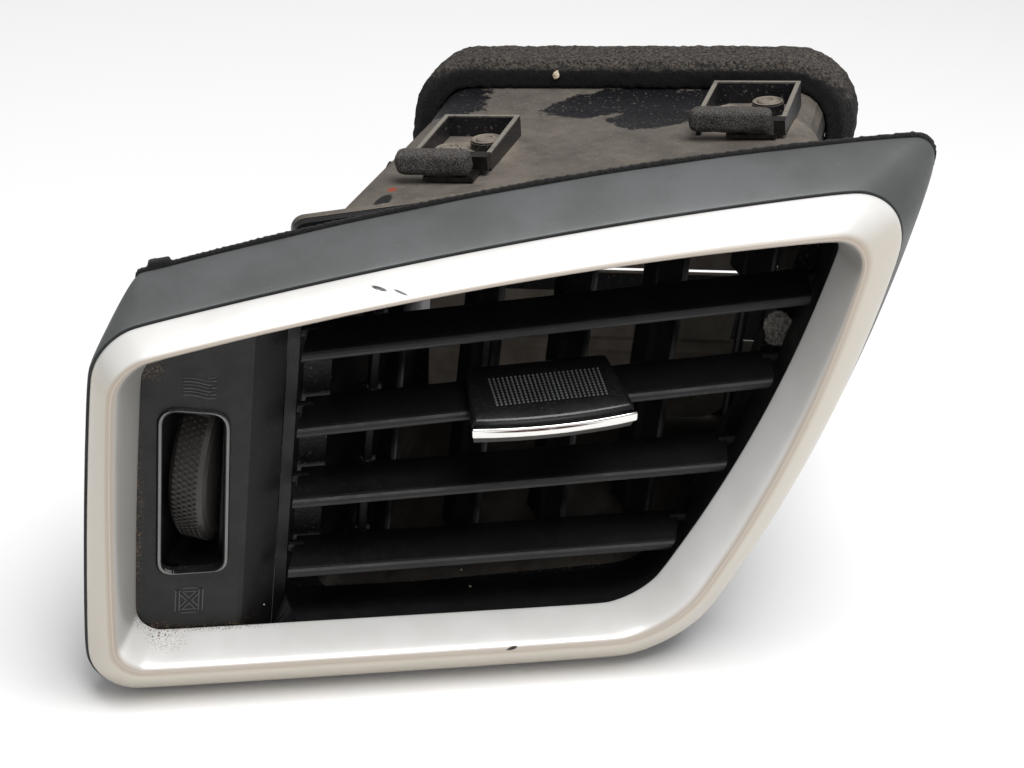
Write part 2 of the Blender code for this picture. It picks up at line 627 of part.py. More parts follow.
def build_knob():
    """Slider on the second slat: grip, bright strip and lower shell with the fork."""
    slat = slats[1]
    axis = slat.point(KNOB_X, SLAT_AXIS)

    def place(x, y, z):
        return slat.point(KNOB_X, 0) + slat.along * x + Y * y + Vector((-slat.along.z, 0, slat.along.x)) * z

    def plan(y, lift, inset=0.0, bow=0.0):
        t = (y - KNOB_FRONT) / (KNOB_REAR - KNOB_FRONT)
        half = (KNOB_WIDTH[0] + (KNOB_WIDTH[1] - KNOB_WIDTH[0]) * t) / 2 - inset
        steps = 8
        row = [-half + 2 * half * k / steps for k in range(steps + 1)]
        return [place(x, y - bow * (1 - (x / half) ** 2), lift) for x in row]

    def top(y):
        t = (y - KNOB_FRONT) / (KNOB_REAR - KNOB_FRONT)
        return KNOB_TOP[0] + (KNOB_TOP[1] - KNOB_TOP[0]) * t

    def strip(name, rows, paint, group=PARTS):
        """Loft of rows that run across the knob, closed round the section."""
        count = len(rows[0])
        points = [p for row in rows for p in row]
        faces = []
        for k in range(len(rows)):
            for i in range(count - 1):
                a, b = k * count, (k + 1) % len(rows) * count
                faces.append((a + i, a + i + 1, b + i + 1, b + i))
        faces.append(tuple(k * count for k in range(len(rows))))
        faces.append(tuple(k * count + count - 1 for k in range(len(rows))))
        return mesh_object(name, points, faces, paint, group, axis)

    under = SLAT_NOSE + GAP + 0.1
    strip_back = KNOB_FRONT + 1.4
    body_rows = [plan(strip_back + GAP, top(KNOB_FRONT) - CHROME_HEIGHT - GAP, 0.2, 1.6),
                 plan(strip_back + GAP, top(KNOB_FRONT) - 0.5, 0.2, 1.6),
                 plan(strip_back + 1.2, top(strip_back + 1.2), 0.6, 1.4),
                 plan(KNOB_REAR - 1.5, top(KNOB_REAR - 1.5), 0.6),
                 plan(KNOB_REAR, top(KNOB_REAR) - 1.2, 0.2), plan(KNOB_REAR, under),
                 plan(SLAT_FRONT - 0.7, under), plan(SLAT_FRONT - 0.7, KNOB_BOTTOM + 1.0)]
    body = soften(strip("knob_body", body_rows, BLACK), 30.0)
    chrome_low = top(KNOB_FRONT) - CHROME_HEIGHT
    chrome_rows = [plan(strip_back, chrome_low, 0.2, 1.6), plan(KNOB_FRONT + 0.3, chrome_low, 0.3, 1.8),
                   plan(KNOB_FRONT, chrome_low + 0.8, 0.2, 1.9),
                   plan(KNOB_FRONT + 0.2, chrome_low + 2.4, 0.2, 1.8),
                   plan(strip_back, top(KNOB_FRONT) - 0.4, 0.3, 1.6)]
    chrome = soften(strip("knob_chrome", chrome_rows, CHROME), 40.0)
    shell_top = -(SLAT_NOSE + GAP + 0.1)
    shell_rows = [plan(KNOB_FRONT + 1.2, chrome_low - GAP - 0.1, 0.6, 1.6),
                  plan(KNOB_FRONT + 2.4, KNOB_BOTTOM - 0.6, 0.8, 1.5),
                  plan(KNOB_REAR - 1.0, shell_top - 1.6, 1.2), plan(KNOB_REAR, shell_top - 1.2, 1.0),
                  plan(KNOB_REAR, shell_top, 1.0), plan(SLAT_FRONT - 0.4, shell_top, 0.8),
                  plan(SLAT_FRONT - 0.7 - 0.6, min(chrome_low - GAP, KNOB_BOTTOM + 1.0) - GAP, 0.8)]
    shell = soften(strip("knob_fork", shell_rows, BLACK), 30.0)
    pin = vanes[DRIVEN_VANE].along(-FORK_REACH, 0.0)
    pin_x, reach = pin.x - KNOB_X, pin.y
    slot, arm = FORK_PIN + FORK_SLACK, FORK_PIN + FORK_SLACK + 1.3
    fork = [(-arm, KNOB_REAR - 3.0), (arm, KNOB_REAR - 3.0), (arm, reach + 1.6), (slot, reach + 1.6),
            (slot, reach - 2.0), (-slot, reach - 2.0), (-slot, reach + 1.6), (-arm, reach + 1.6)]
    prongs = capped_loft("fork_prongs", [[place(pin_x + x, y, shell_top + h) for x, y in fork]
                                         for h in (-1.3, -0.1)], None, TOOLS)
    combine(shell, prongs, 'UNION')
    return body, chrome, shell


class Vane:
    """Places that belong to one upright vane."""

    def __init__(self, index):
        self.name = f"vane_{index + 1}"
        self.x = VANE_FIRST + VANE_PITCH * index
        self.axis = Vector((self.x, VANE_AXIS_Y, 0.0))
        self.roof = hit(duct_walls, (self.x, VANE_AXIS_Y, 108.0), Z).z
        self.floor = hit(duct_walls, (self.x, VANE_AXIS_Y, 108.0), -Z).z
        swept = []
        for step in range(9):
            angle = VANE_RANGE[0] + (VANE_RANGE[1] - VANE_RANGE[0]) * step / 8
            for reach in (-VANE_FRONT - 0.5, VANE_CHORD - VANE_FRONT + 0.5):
                swept.append(self.axis + Vector((sin(angle), cos(angle), 0.0)) * reach)
        inside = [Vector((p.x, max(p.y, DUCT_FRONT + 0.5), 103.0)) for p in swept]
        self.top = min(hit(duct_walls, p, Z).z for p in inside) - 6.8
        self.bottom = max(hit(duct_walls, p, -Z).z for p in inside) + 1.2

    def along(self, reach, z):
        return self.axis + Vector((sin(VANE_TURN), cos(VANE_TURN), 0.0)) * reach + Z * z

    def across(self, shift):
        return Vector((cos(VANE_TURN), -sin(VANE_TURN), 0.0)) * shift


vanes = [Vane(i) for i in range(VANE_PIVOTS)]
LINK_REACH = 6.8     # vane axis to the link's pins


def build_vane(vane, driven=False):
    back = VANE_CHORD - VANE_FRONT
    thick = VANE_THICKNESS / 2
    section = [(-VANE_FRONT, 0.3), (-VANE_FRONT + 0.7, 0.8), (-2.2, thick), (0.0, VANE_PIN + 0.3),
               (2.2, thick), (back - 1.0, 0.6), (back, 0.3)]
    ring = section + [(reach, -side) for reach, side in reversed(section)]
    loops = [[vane.along(reach, z) + vane.across(side) for reach, side in ring]
             for z in (vane.bottom, vane.top)]
    origin = Vector((vane.x, VANE_AXIS_Y, vane.bottom))
    blade = soften(capped_loft(vane.name, loops, LOUVRE, origin=origin), 25.0)
    pivots = rods(vane.name + "_pivots", [
        (vane.axis + Z * (vane.floor - 1.1), vane.axis + Z * (vane.bottom + 3), VANE_PIN),
        (vane.axis + Z * (vane.top - 3), vane.axis + Z * (vane.roof + 1.1), VANE_PIN),
        (vane.along(LINK_REACH, vane.top - 3), vane.along(LINK_REACH, vane.top + 2.4), 1.0)])
    combine(blade, pivots, 'UNION')
    if driven:
        pin = vane.along(-FORK_REACH, slats[1].point(vane.x, SLAT_AXIS).z)
        window = block("fork_window", (-VANE_FRONT - 1.0, -3.0, pin.z - FORK_WINDOW),
                       (-5.0, 3.0, pin.z + FORK_WINDOW), None, TOOLS,
                       lambda a, b, z: vane.along(a, z) + vane.across(b))
        post = rods("fork_pin", [(pin - Z * (FORK_WINDOW + 1.2), pin + Z * (FORK_WINDOW + 1.2),
                                  FORK_PIN)])
        combine(blade, window, 'DIFFERENCE')
        combine(blade, post, 'UNION')
    return blade


def build_vane_link():
    """Sloping bar over the vanes, with a hole for each vane's pin."""
    first, last = vanes[0], vanes[-1]
    rise, thick = 0.4, 1.2
    ends = [vane.along(LINK_REACH, vane.top) for vane in vanes]
    loops = []
    for vane, point in zip(vanes, ends):
        shift = -1.8 if vane is first else 2.2 if vane is last else 0.0
        x = point.x + shift
        loops.append([Vector((x, point.y + side, point.z + lift))
                      for side, lift in ((-1.9, rise), (1.9, rise), (1.9, rise + thick), (-1.9, rise + thick))])
    bar = capped_loft("vane_link", loops, LINK, origin=ends[0])
    holes = rods("vane_link_holes", [(p - Z * 1, p + Z * 5, 1.0 + GAP) for p in ends])
    return combine(bar, holes, 'DIFFERENCE')


FLAP_HALF = (NECK_HEIGHT - 2 * DUCT_WALL * hypot(1.0, ROOF_RISE)) / 4


def flap_axis(level):
    """Height of a flap's axis at u = 0; level 0 is the lower flap and 1 the upper."""
    middle = ROOF_POINT.z - ROOF_FALL * NECK_END - NECK_HEIGHT / 2
    return middle + (FLAP_HALF if level else -FLAP_HALF)


def flap_point(level, u):
    """Point on a flap's axis at u."""
    return at_duct(u, FLAP_AXIS, flap_axis(level) + u * ROOF_RISE)


def neck_side(z, u):
    """Inside of the neck's right wall at height z near u."""
    floor = neck_roof(u) - NECK_HEIGHT
    return NECK_RIGHT[0] + (NECK_RIGHT[1] - NECK_RIGHT[0]) * (z - floor) / NECK_HEIGHT - DUCT_WALL


def flap_at(level, u, v, h):
    """Point on a flap: u across, v behind its axis, h straight above it."""
    return at_duct(u, FLAP_AXIS + v, flap_axis(level) + u * ROOF_RISE + h)


def build_flap(level):
    """Flap whose ends stand upright with the neck's walls, clear of them when it turns."""
    name = ("flap_lower", "flap_upper")[level]
    left = NECK_LEFT + DUCT_WALL
    right = NECK_RIGHT[0] - DUCT_WALL
    tall = FLAP_HALF - FLAP_GAP
    side = neck_side(flap_axis(level) + right * ROOF_RISE, right)
    top_right = side - 4.2
    low_right = (right - 2.4, side - 2.2)[level]
    origin = flap_point(level, 0)
    radii = ((9.0, 9.0, 0.6, 0.6), (0.6, 0.6, 9.0, 9.0))[level]
    edge = outline(((left + 4.2, -tall), (low_right, -tall), (top_right, tall), (left + 1.2, tall)),
                   radii, (0.0,) * 4)
    loops = [[flap_at(level, p.x, v, p.y) for p in edge]
             for v in (-FLAP_THICKNESS / 2, FLAP_THICKNESS / 2)]
    plate = capped_loft(name, loops, FLAP, origin=origin)
    lean = flap_lean()
    wall = hit(duct_walls, origin, lean)
    boss = rods(name + "_boss", [(flap_point(level, left + 5.0), flap_point(level, top_right - 1.5),
                                  SHAFT + 0.8)])
    shafts = rods(name + "_shafts", [
        (to_plane(origin, lean, ROD_PLANE + 7.4), flap_point(level, left + 7.0), SHAFT),
        (flap_point(level, top_right - 3.0), wall + lean * 1.2, SHAFT)])
    combine(plate, boss, 'UNION')
    return soften(combine(plate, shafts, 'UNION'), 30.0)


def flap_lean():
    """Direction of the flaps' axes: they rise to the right with the roof."""
    return (U + Z * ROOF_RISE).normalized()


def arm_tip(centre, axis):
    """Tip of a crank arm that leans with the linkage and turns about the axis."""
    upright = (Z - axis * axis.dot(Z)).normalized()
    return centre + V * (CRANK_ARM * sin(ARM_LEAN)) + upright * (CRANK_ARM * cos(ARM_LEAN))


def to_plane(point, axis, u):
    """Slide a point along an axis until it lies at u."""
    return point + axis * ((u - (point - ROOF_POINT).dot(U)) / axis.dot(U))


def plate_between(name, start, end, normal, low, high, paint, radii):
    """Bar with round ends between two points, from low to high along its normal."""
    ahead = (end - start)
    ahead = (ahead - normal * ahead.dot(normal)).normalized()
    side = normal.cross(ahead)
    length = (end - start).dot(ahead)
    edge = []
    for middle, radius, first in ((0.0, radii[0], 90), (length, radii[1], -90)):
        for k in range(7):
            angle = radians(first + 30 * k)
            edge.append((middle + radius * cos(angle), radius * sin(angle)))
    loops = [[start + normal * h + ahead * a + side * s for a, s in edge] for h in (low, high)]
    return capped_loft(name, loops, paint, origin=start)


def crank_seat(level):
    """Middle of a flap's crank on the flap's axis."""
    return to_plane(flap_point(level, 0), flap_lean(), ROD_PLANE + 6.1)


def build_flap_crank(level):
    name = ("flap_crank_lower", "flap_crank_upper")[level]
    centre = crank_seat(level)
    tip = arm_tip(centre, flap_lean())
    arm = plate_between(name, centre, tip, flap_lean(), -0.9, 0.9, LINK, (3.8, 2.8))
    end = to_plane(tip, flap_lean(), ROD_PLANE - 1.5 if level else ROD_PLANE + 0.9)
    pin = rods(name + "_pin", [(end, tip + flap_lean() * 0.5, 1.5)])
    return combine(arm, pin, 'UNION')


def build_linkage():
    """Thumbwheel, its crank and bracket, and the rods to the flaps."""
    wheel_middle = at_duct(*WHEEL_CENTRE)
    half = WHEEL_WIDTH / 2
    hub_end = half + 3.2
    rim_inner = WHEEL_RADIUS - 3.0
    profile = [(0.0, hub_end), (HUB, hub_end), (HUB, half - 0.4), (WHEEL_RADIUS - 1.8, half - 0.4),
               (WHEEL_RADIUS - 0.5, half - 1.0), (WHEEL_RADIUS, half - 2.2),
               (WHEEL_RADIUS, -half + 1.0), (WHEEL_RADIUS - 0.8, -half), (rim_inner, -half),
               (rim_inner, half - 2.6), (0.0, half - 2.6)]
    wheel = turned("thumbwheel", profile, wheel_middle, U, BLACK, 48)
    crank_u = WHEEL_CENTRE[0] + hub_end + GAP
    rod_low, rod_high = ROD_PLANE - 1.0, ROD_PLANE + 1.0
    crank_high = min(crank_u + 2.0, rod_low - GAP)
    tip = arm_tip(wheel_middle, U)
    crank = plate_between("wheel_crank", wheel_middle, tip, U, crank_u - WHEEL_CENTRE[0],
                          crank_high - WHEEL_CENTRE[0], LINK, (5.0, 2.8))
    pin = rods("wheel_crank_pin", [(to_plane(tip, U, crank_high - 0.5),
                                    to_plane(tip, U, rod_high + 0.6), 1.5)])
    combine(crank, pin, 'UNION')
    pins = [arm_tip(crank_seat(level), flap_lean()) for level in (0, 1)]
    near = to_plane(tip, U, ROD_PLANE)
    far = to_plane(pins[1], flap_lean(), ROD_PLANE)
    rod = plate_between("drive_rod", near, far, U, -1.0, 1.0, LINK, (2.8, 3.4))
    combine(rod, rods("drive_rod_holes", [(near - U * 3, near + U * 3, 1.5 + GAP),
                                          (far - U * 3, far + U * 3, LOOSE_HOLE)]), 'DIFFERENCE')
    ends = [to_plane(point, flap_lean(), ROD_PLANE + 2.1) for point in pins]
    link = plate_between("flap_link", ends[1], ends[0], U, -0.7, 0.7, LINK, (3.4, 3.4))
    combine(link, rods("flap_link_holes", [(p - U * 3, p + U * 3, LOOSE_HOLE) for p in ends]),
            'DIFFERENCE')
    return wheel, crank, rod, link


def build_wheel_bracket():
    """Cheek beside the wheel: its bore carries the hub, its feet meet the panel."""
    u_low = WHEEL_CENTRE[0] + WHEEL_WIDTH / 2 + 0.4
    u_high = u_low + 2.0
    centre_v, centre_z = WHEEL_CENTRE[1], WHEEL_CENTRE[2]
    back = RING_DEPTH + GAP + WALL + GAP
    feet = [(WINDOW_CORNERS[2][1] + 2.5, 10.0), (WINDOW_CORNERS[0][1] - 12.5, 10.0)]

    def place(u, v, z):
        return at_duct(u, v, z)

    cheek = block("wheel_bracket", (u_low, centre_v - 12.0, feet[1][0]),
                  (u_high, centre_v + 9.0, feet[0][0] + feet[0][1]), LOUVRE, PARTS, place)
    for k, (z, height) in enumerate(feet):
        arm = block(f"bracket_arm_{k}", (u_low, centre_v - 26.0, z), (u_high, centre_v - 11.0, z + height),
                    None, TOOLS, place)
        combine(cheek, arm, 'UNION')
        x = at_duct(u_low, centre_v - 20.0, 0).x
        foot = block(f"bracket_foot_{k}", (x - 5.0, back, z), (x + 6.0, back + 2.0, z + height), None, TOOLS)
        combine(cheek, foot, 'UNION')
    guard_u = WHEEL_CENTRE[0] - WHEEL_WIDTH / 2 - 2.0
    sill = WHEEL_CENTRE[2] - WHEEL_RADIUS - 4.4
    guard = block("wheel_guard", (guard_u - 1.6, centre_v - 24.0, sill),
                  (guard_u, centre_v + 25.0, centre_z + 25.0), None, TOOLS, place)
    tray = block("wheel_tray", (guard_u - 0.8, centre_v - 22.5, sill + 0.4), (u_high - 0.7, centre_v + 24.4, sill + 2.0),
                 None, TOOLS, place)
    notch = block("tray_notch", (guard_u, centre_v - 30.0, sill - 1.0),
                  (guard_u + 3.4, centre_v - 16.0, sill + 3.0), None, TOOLS, place)
    combine(tray, notch, 'DIFFERENCE')
    combine(cheek, tray, 'UNION')
    combine(cheek, guard, 'UNION')
    trim = block("bracket_trim", (-110, back - 40, -10), (0, back, 130), None, TOOLS)
    combine(cheek, trim, 'DIFFERENCE')
    middle = at_duct(*WHEEL_CENTRE)
    bore = rods("bracket_bore", [(middle, middle + U * 12, HUB + GAP)], sides=32)
    return combine(cheek, bore, 'DIFFERENCE')


def build_duct():
    loops = duct_inside + list(reversed(duct_outside)) + [
        at_depth(flange, DUCT_FRONT + FLANGE), at_depth(flange, DUCT_FRONT)]
    body = ring_loft("duct", loops, DUSTY)
    for side, (a0, a1, b0, b1), bosses, _, _ in BRACKETS:
        edge = [(a0, b0), (a0 + RAIL_WALL, b0), (a0 + RAIL_WALL, b1 - RAIL_WALL),
                (a1 - RAIL_WALL, b1 - RAIL_WALL), (a1 - RAIL_WALL, b0), (a1, b0), (a1, b1), (a0, b1)]
        rails = capped_loft(f"{side}_rails", [[on_roof(a, b, c) for a, b in edge] for c in (-2.4, 4.0)],
                            None, TOOLS)
        combine(body, rails, 'UNION')
        combine(body, rods(f"{side}_bosses", [(on_roof(a, b, -2.2), on_roof(a, b, BOSS_HEIGHT), r)
                                              for a, b, r in bosses], sides=24), 'UNION')
    core = capped_loft("neck_core", [across_duct(grown(neck, -1.3), v)
                                     for v in (NECK_START + 0.5, NECK_END - 2.0)], None, TOOLS)
    for k, (level, side, ahead, low, high) in enumerate(STOPS):
        middle = FLAP_AXIS + (-3.0 if ahead else 3.0)

        def place(d, v, h):
            base = neck_side(flap_axis(level) + h + NECK_RIGHT[0] * ROOF_RISE, NECK_RIGHT[0])
            edges = {"right": base, "left": NECK_LEFT + DUCT_WALL, "across": 0.0}
            return flap_at(level, edges[side] + d, middle - FLAP_AXIS + v, h)

        reach = {"right": (-STOP_DEPTH, 2.0), "left": (-2.0, STOP_DEPTH), "across": (-70.0, 60.0)}[side]
        stop = block(f"stop_{k}", (reach[0], -0.7, low), (reach[1], 0.7, high), None, TOOLS, place)
        combine(stop, core, 'INTERSECT')
        combine(body, stop, 'UNION')
    holes = []
    for vane in vanes:
        holes.append((vane.axis + Z * (vane.roof - 1.5), vane.axis + Z * (vane.roof + 1.5), VANE_PIN + GAP))
        holes.append((vane.axis + Z * (vane.floor + 9.0), vane.axis + Z * (vane.floor - 1.5), VANE_PIN + GAP))
    for level in (0, 1):
        lean = flap_lean()
        wall = hit(duct_walls, flap_point(level, 0), lean)
        holes.append((wall - lean * 2, wall + lean * 1.6, SHAFT + GAP))
        holes.append((flap_point(level, NECK_LEFT + 6), flap_point(level, NECK_LEFT - 4), SHAFT + GAP))
    holes += [(p - Y * 4, p + Y * 6, 1.5) for p in screw_places()]
    wheel_middle = at_duct(*WHEEL_CENTRE)
    holes.append((to_plane(wheel_middle, U, ROD_PLANE - 2.0), to_plane(wheel_middle, U, ROD_PLANE + 2.4),
                  CRANK_ARM + 3.6))
    return soften(combine(body, rods("duct_holes", holes), 'DIFFERENCE'), 30.0)


# Stops that the flaps close against: level, side, in front of the flap, from and to above the axis
STOP_DEPTH = 7.4
STOPS = (
    (1, "right", True, 4.2, FLAP_HALF + 3.0), (1, "right", False, 1.0 - FLAP_HALF, -4.2),
    (1, "left", False, 1.0 - FLAP_HALF, -4.2), (0, "right", True, 4.2, FLAP_HALF - 3.0),
    (0, "right", False, -FLAP_HALF - 3.0, -4.2), (0, "left", False, -FLAP_HALF - 3.0, -4.2),
    (1, "across", True, FLAP_HALF - 2.4, FLAP_HALF + 3.0), (0, "across", True, FLAP_HALF - 5.0, FLAP_HALF - 0.1),
)

# Bracket on the roof: name, (left, right, front, rear), bosses (a, b, radius),
# foam pad (left, right, front), left side of the clip's ear
BRACKETS = (
    ("left", (-46.4, -27.4, 8.8, 39.0), ((-33.4, 28.5, 4.0), (-41.2, 21.4, 3.3)),
     (-47.6, -29.6, -2.6), -31.6),
    ("right", (16.0, 37.8, 39.4, 69.2), ((30.5, 61.2, 4.0), (21.9, 54.6, 3.3)),
     (15.2, 35.0, 32.8), 35.4),
)
RAIL_WALL = 1.1
BOSS_HEIGHT = 0.8
PAD_DEPTH = 5.4
PAD_HEIGHT = 5.8


def build_clips_and_pads():
    """Spring clip in each bracket, and the rolled foam pad on its front tongue."""
    for side, (a0, a1, b0, _), _, (pad_left, pad_right, pad_front), ear_left in BRACKETS:
        base = hit(duct_skin, on_roof(a0 + 9, b0 - 4, 30), -ROOF_C)
        seat = (base - ROOF_POINT).dot(ROOF_C) + GAP + 0.5
        right = a1 - RAIL_WALL - GAP - 0.3
        plate = block(f"clip_{side}", (right - 12.0, pad_front + 1.2, seat), (right, b0 + 9.0, seat + 1.0),
                      CLIP, PARTS, on_roof)
        ear = block(f"clip_ear_{side}", (ear_left, b0 - 4.0, seat + 0.5),
                    (a1 + 0.3, b0 - GAP - 0.1, seat + 4.0), None, TOOLS, on_roof)
        combine(plate, ear, 'UNION')
        pad = block(f"pad_{side}", (pad_left, pad_front, seat + 1.0 + GAP),
                    (pad_right, pad_front + PAD_DEPTH, seat + 1.0 + GAP + PAD_HEIGHT), FOAM, PARTS, on_roof)
        bevel(pad, 1.8, 3)


def build_seal():
    """Foam seal wrapped round the duct's rear neck."""
    outer = grown(neck, SEAL_THICKNESS + GAP)
    shoulder = grown(neck, SEAL_THICKNESS - 2.0)
    inner = grown(neck, GAP)
    loops = [(inner, SEAL_START), (shoulder, SEAL_START), (outer, SEAL_START + 2.4),
             (outer, SEAL_END - 2.4), (shoulder, SEAL_END), (inner, SEAL_END)]
    return soften(ring_loft("duct_seal", [across_duct(p, v) for p, v in loops], FOAM), 50.0)


build_ring()
build_bezel()
build_felt()
build_panel()
build_housing()
for one in slats:
    build_slat(one)
build_slat_link()
build_knob()
for number, one in enumerate(vanes):
    build_vane(one, number == DRIVEN_VANE)
build_vane_link()
build_flap(0)
build_flap(1)
build_flap_crank(0)
build_flap_crank(1)
build_linkage()
build_wheel_bracket()
build_duct()
build_screws()
build_clips_and_pads()
build_seal()


def stand_on_origin():
    """Move everything so that the origin is under the middle of the vent."""
    view = bpy.context.evaluated_depsgraph_get()
    corners = []
    for made in PARTS.objects:
        shown = made.evaluated_get(view)
        corners += [shown.matrix_world @ Vector(corner) for corner in shown.bound_box]
    low = Vector([min(c[k] for c in corners) for k in range(3)])
    high = Vector([max(c[k] for c in corners) for k in range(3)])
    middle = Vector(((low.x + high.x) / 2, (low.y + high.y) / 2, low.z))
    for made in list(PARTS.objects) + list(TOOLS.objects):
        made.location -= middle
    return middle


BASE_MIDDLE = stand_on_origin()
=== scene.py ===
from math import cos, radians, sin, tan

import bpy
from mathutils import Matrix, Vector


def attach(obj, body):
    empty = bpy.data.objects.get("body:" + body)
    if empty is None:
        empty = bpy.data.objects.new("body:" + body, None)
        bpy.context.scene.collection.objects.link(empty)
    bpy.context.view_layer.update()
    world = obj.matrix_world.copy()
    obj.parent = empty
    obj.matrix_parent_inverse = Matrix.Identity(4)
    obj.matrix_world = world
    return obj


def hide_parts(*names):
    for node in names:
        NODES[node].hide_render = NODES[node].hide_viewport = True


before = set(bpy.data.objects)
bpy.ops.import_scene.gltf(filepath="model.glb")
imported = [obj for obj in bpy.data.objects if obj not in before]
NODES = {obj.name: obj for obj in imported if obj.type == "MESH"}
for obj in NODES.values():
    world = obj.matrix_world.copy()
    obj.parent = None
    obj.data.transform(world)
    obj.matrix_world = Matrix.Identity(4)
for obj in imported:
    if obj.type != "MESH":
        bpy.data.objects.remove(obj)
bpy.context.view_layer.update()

# Measured in millimetres from the crest of the silver ring, as the CAD's sizes are.
MM = 0.001
ORIGIN = Vector((8.9423, 69.2785, 0.0))
TURN = radians(27.0)
ROOF_POINT = Vector((23.3, 28.0, 121.4))
U = Vector((cos(TURN), -sin(TURN), 0.0))
V = Vector((sin(TURN), cos(TURN), 0.0))
Z = Vector((0.0, 0.0, 1.0))
ROOF_A = (U + Z * 0.191).normalized()
ROOF_B = (V - Z * 0.069)
ROOF_B = (ROOF_B - ROOF_A * ROOF_A.dot(ROOF_B)).normalized()
ROOF_C = ROOF_A.cross(ROOF_B)


def vent(x, y, z):
    """A point of the vent, given in millimetres, in the scene's metres."""
    return (Vector((x, y, z)) - ORIGIN) * MM


def on_roof(a, b, c):
    """A point on the duct's roof: a to the right, b to the rear, c above it."""
    return vent(*(ROOF_POINT + ROOF_A * a + ROOF_B * b + ROOF_C * c))


def hex_colour(code):
    """Linear colour of an sRGB hex code."""
    parts = [int(code[i:i + 2], 16) / 255 for i in (1, 3, 5)]
    linear = [p / 12.92 if p <= 0.04045 else ((p + 0.055) / 1.055) ** 2.4 for p in parts]
    return (*linear, 1.0)


def add(tree, kind, settings=None, inputs=None):
    """Add a node; an input takes a value, a hex colour, or the node or socket that feeds it."""
    made = tree.nodes.new(kind)
    for key, value in (settings or {}).items():
        setattr(made, key, value)
    for key, value in (inputs or {}).items():
        if isinstance(value, bpy.types.Node):
            value = next(socket for socket in value.outputs if socket.enabled)
        if isinstance(value, bpy.types.NodeSocket):
            tree.links.new(value, made.inputs[key])
        else:
            made.inputs[key].default_value = hex_colour(value) if isinstance(value, str) else value
    return made


def finish_material(name, colour, roughness, metallic=0.0, ior=1.5):
    """Start a Principled material; returns it with its tree and shader."""
    made = bpy.data.materials.new(name)
    made.use_nodes = True
    tree = made.node_tree
    shader = tree.nodes["Principled BSDF"]
    shader.inputs["Base Color"].default_value = hex_colour(colour)
    shader.inputs["Roughness"].default_value = roughness
    shader.inputs["Metallic"].default_value = metallic
    shader.inputs["IOR"].default_value = ior
    return made, tree, shader


def cloud(tree, size_mm, low, high, seed=0.0, detail=4.0, roughness=0.6, to=(0.0, 1.0), stretch=None):
    """Cloudy pattern with lumps about size_mm across, spread over 0 to 1 or another span."""
    place = add(tree, "ShaderNodeTexCoord").outputs["Object"]
    scale = tuple(1.0 / (size_mm * MM * part) for part in (stretch or (1.0, 1.0, 1.0)))
    sized = add(tree, "ShaderNodeVectorMath", {"operation": 'MULTIPLY'}, {0: place, 1: scale})
    pattern = add(tree, "ShaderNodeTexNoise", {"noise_dimensions": '4D'},
                  {"Vector": sized, "W": seed, "Scale": 1.0, "Detail": detail, "Roughness": roughness})
    return add(tree, "ShaderNodeMapRange", {"interpolation_type": 'SMOOTHSTEP'},
               {"Value": pattern, "From Min": low, "From Max": high, "To Min": to[0], "To Max": to[1]})


def painted(tree, under, over, *shares):
    """Lay one colour over another by the product of the given shares."""
    share = shares[0]
    for more in shares[1:]:
        share = add(tree, "ShaderNodeMath", {"operation": 'MULTIPLY'}, {0: share, 1: more})
    return add(tree, "ShaderNodeMix", {"data_type": 'RGBA'}, {0: share, 6: under, 7: over})


def facing_up(tree, low=0.3, high=0.95):
    """How far the surface faces up, where dust settles; it also places the ring's painted shade and
    reflection.
    """
    normal = add(tree, "ShaderNodeNewGeometry").outputs["Normal"]
    height = add(tree, "ShaderNodeSeparateXYZ", None, {"Vector": normal}).outputs["Z"]
    return add(tree, "ShaderNodeMapRange", {"interpolation_type": 'SMOOTHSTEP'},
               {"Value": height, "From Min": low, "From Max": high})


def near(tree, place, radii_mm, core=0.5, turned=None):
    """1 about a point of the vent, falling to 0 at the radii of an ellipsoid."""
    coords = add(tree, "ShaderNodeTexCoord").outputs["Object"]
    offset = add(tree, "ShaderNodeVectorMath", {"operation": 'SUBTRACT'}, {0: coords, 1: tuple(place)})
    if turned:
        offset = add(tree, "ShaderNodeVectorRotate", {"rotation_type": 'EULER_XYZ'},
                     {"Vector": offset, "Rotation": turned})
    scaled = add(tree, "ShaderNodeVectorMath", {"operation": 'MULTIPLY'},
                 {0: offset, 1: tuple(1000.0 / r for r in radii_mm)})
    length = add(tree, "ShaderNodeVectorMath", {"operation": 'LENGTH'}, {0: scaled})
    return add(tree, "ShaderNodeMapRange", {"interpolation_type": 'SMOOTHSTEP'},
               {"Value": length.outputs["Value"], "From Min": core, "From Max": 1.0, "To Min": 1.0,
                "To Max": 0.0})


def feed(tree, shader, **sockets):
    """Link patterns to the shader's sockets, named with underscores."""
    for key, value in sockets.items():
        source = next(socket for socket in value.outputs if socket.enabled)
        tree.links.new(source, shader.inputs[key.replace("_", " ")])


def dress(material, *names):
    """Give CAD nodes a material."""
    for name in names:
        for slot in NODES[name].material_slots:
            slot.link = 'OBJECT'
            slot.material = material


# The ring's outer flanks face away from its middle, and the inner ones towards it.
RING_MIDDLE = vent(-5.0, 0.0, 70.0)
FLANK_BLEND = 20.0 * MM

SLAT_2 = radians(4.6)
KNOB_SEAT = (13.0, 0.0, 70.6 + 13.0 * tan(SLAT_2))


def on_knob(x, y, lift):
    """A point of the knob: along its slat, to the rear and above the slat's axis."""
    along = Vector((cos(SLAT_2), 0.0, sin(SLAT_2)))
    above = Vector((-sin(SLAT_2), 0.0, cos(SLAT_2)))
    return vent(*(Vector(KNOB_SEAT) + along * x + Vector((0, y, 0)) + above * lift))


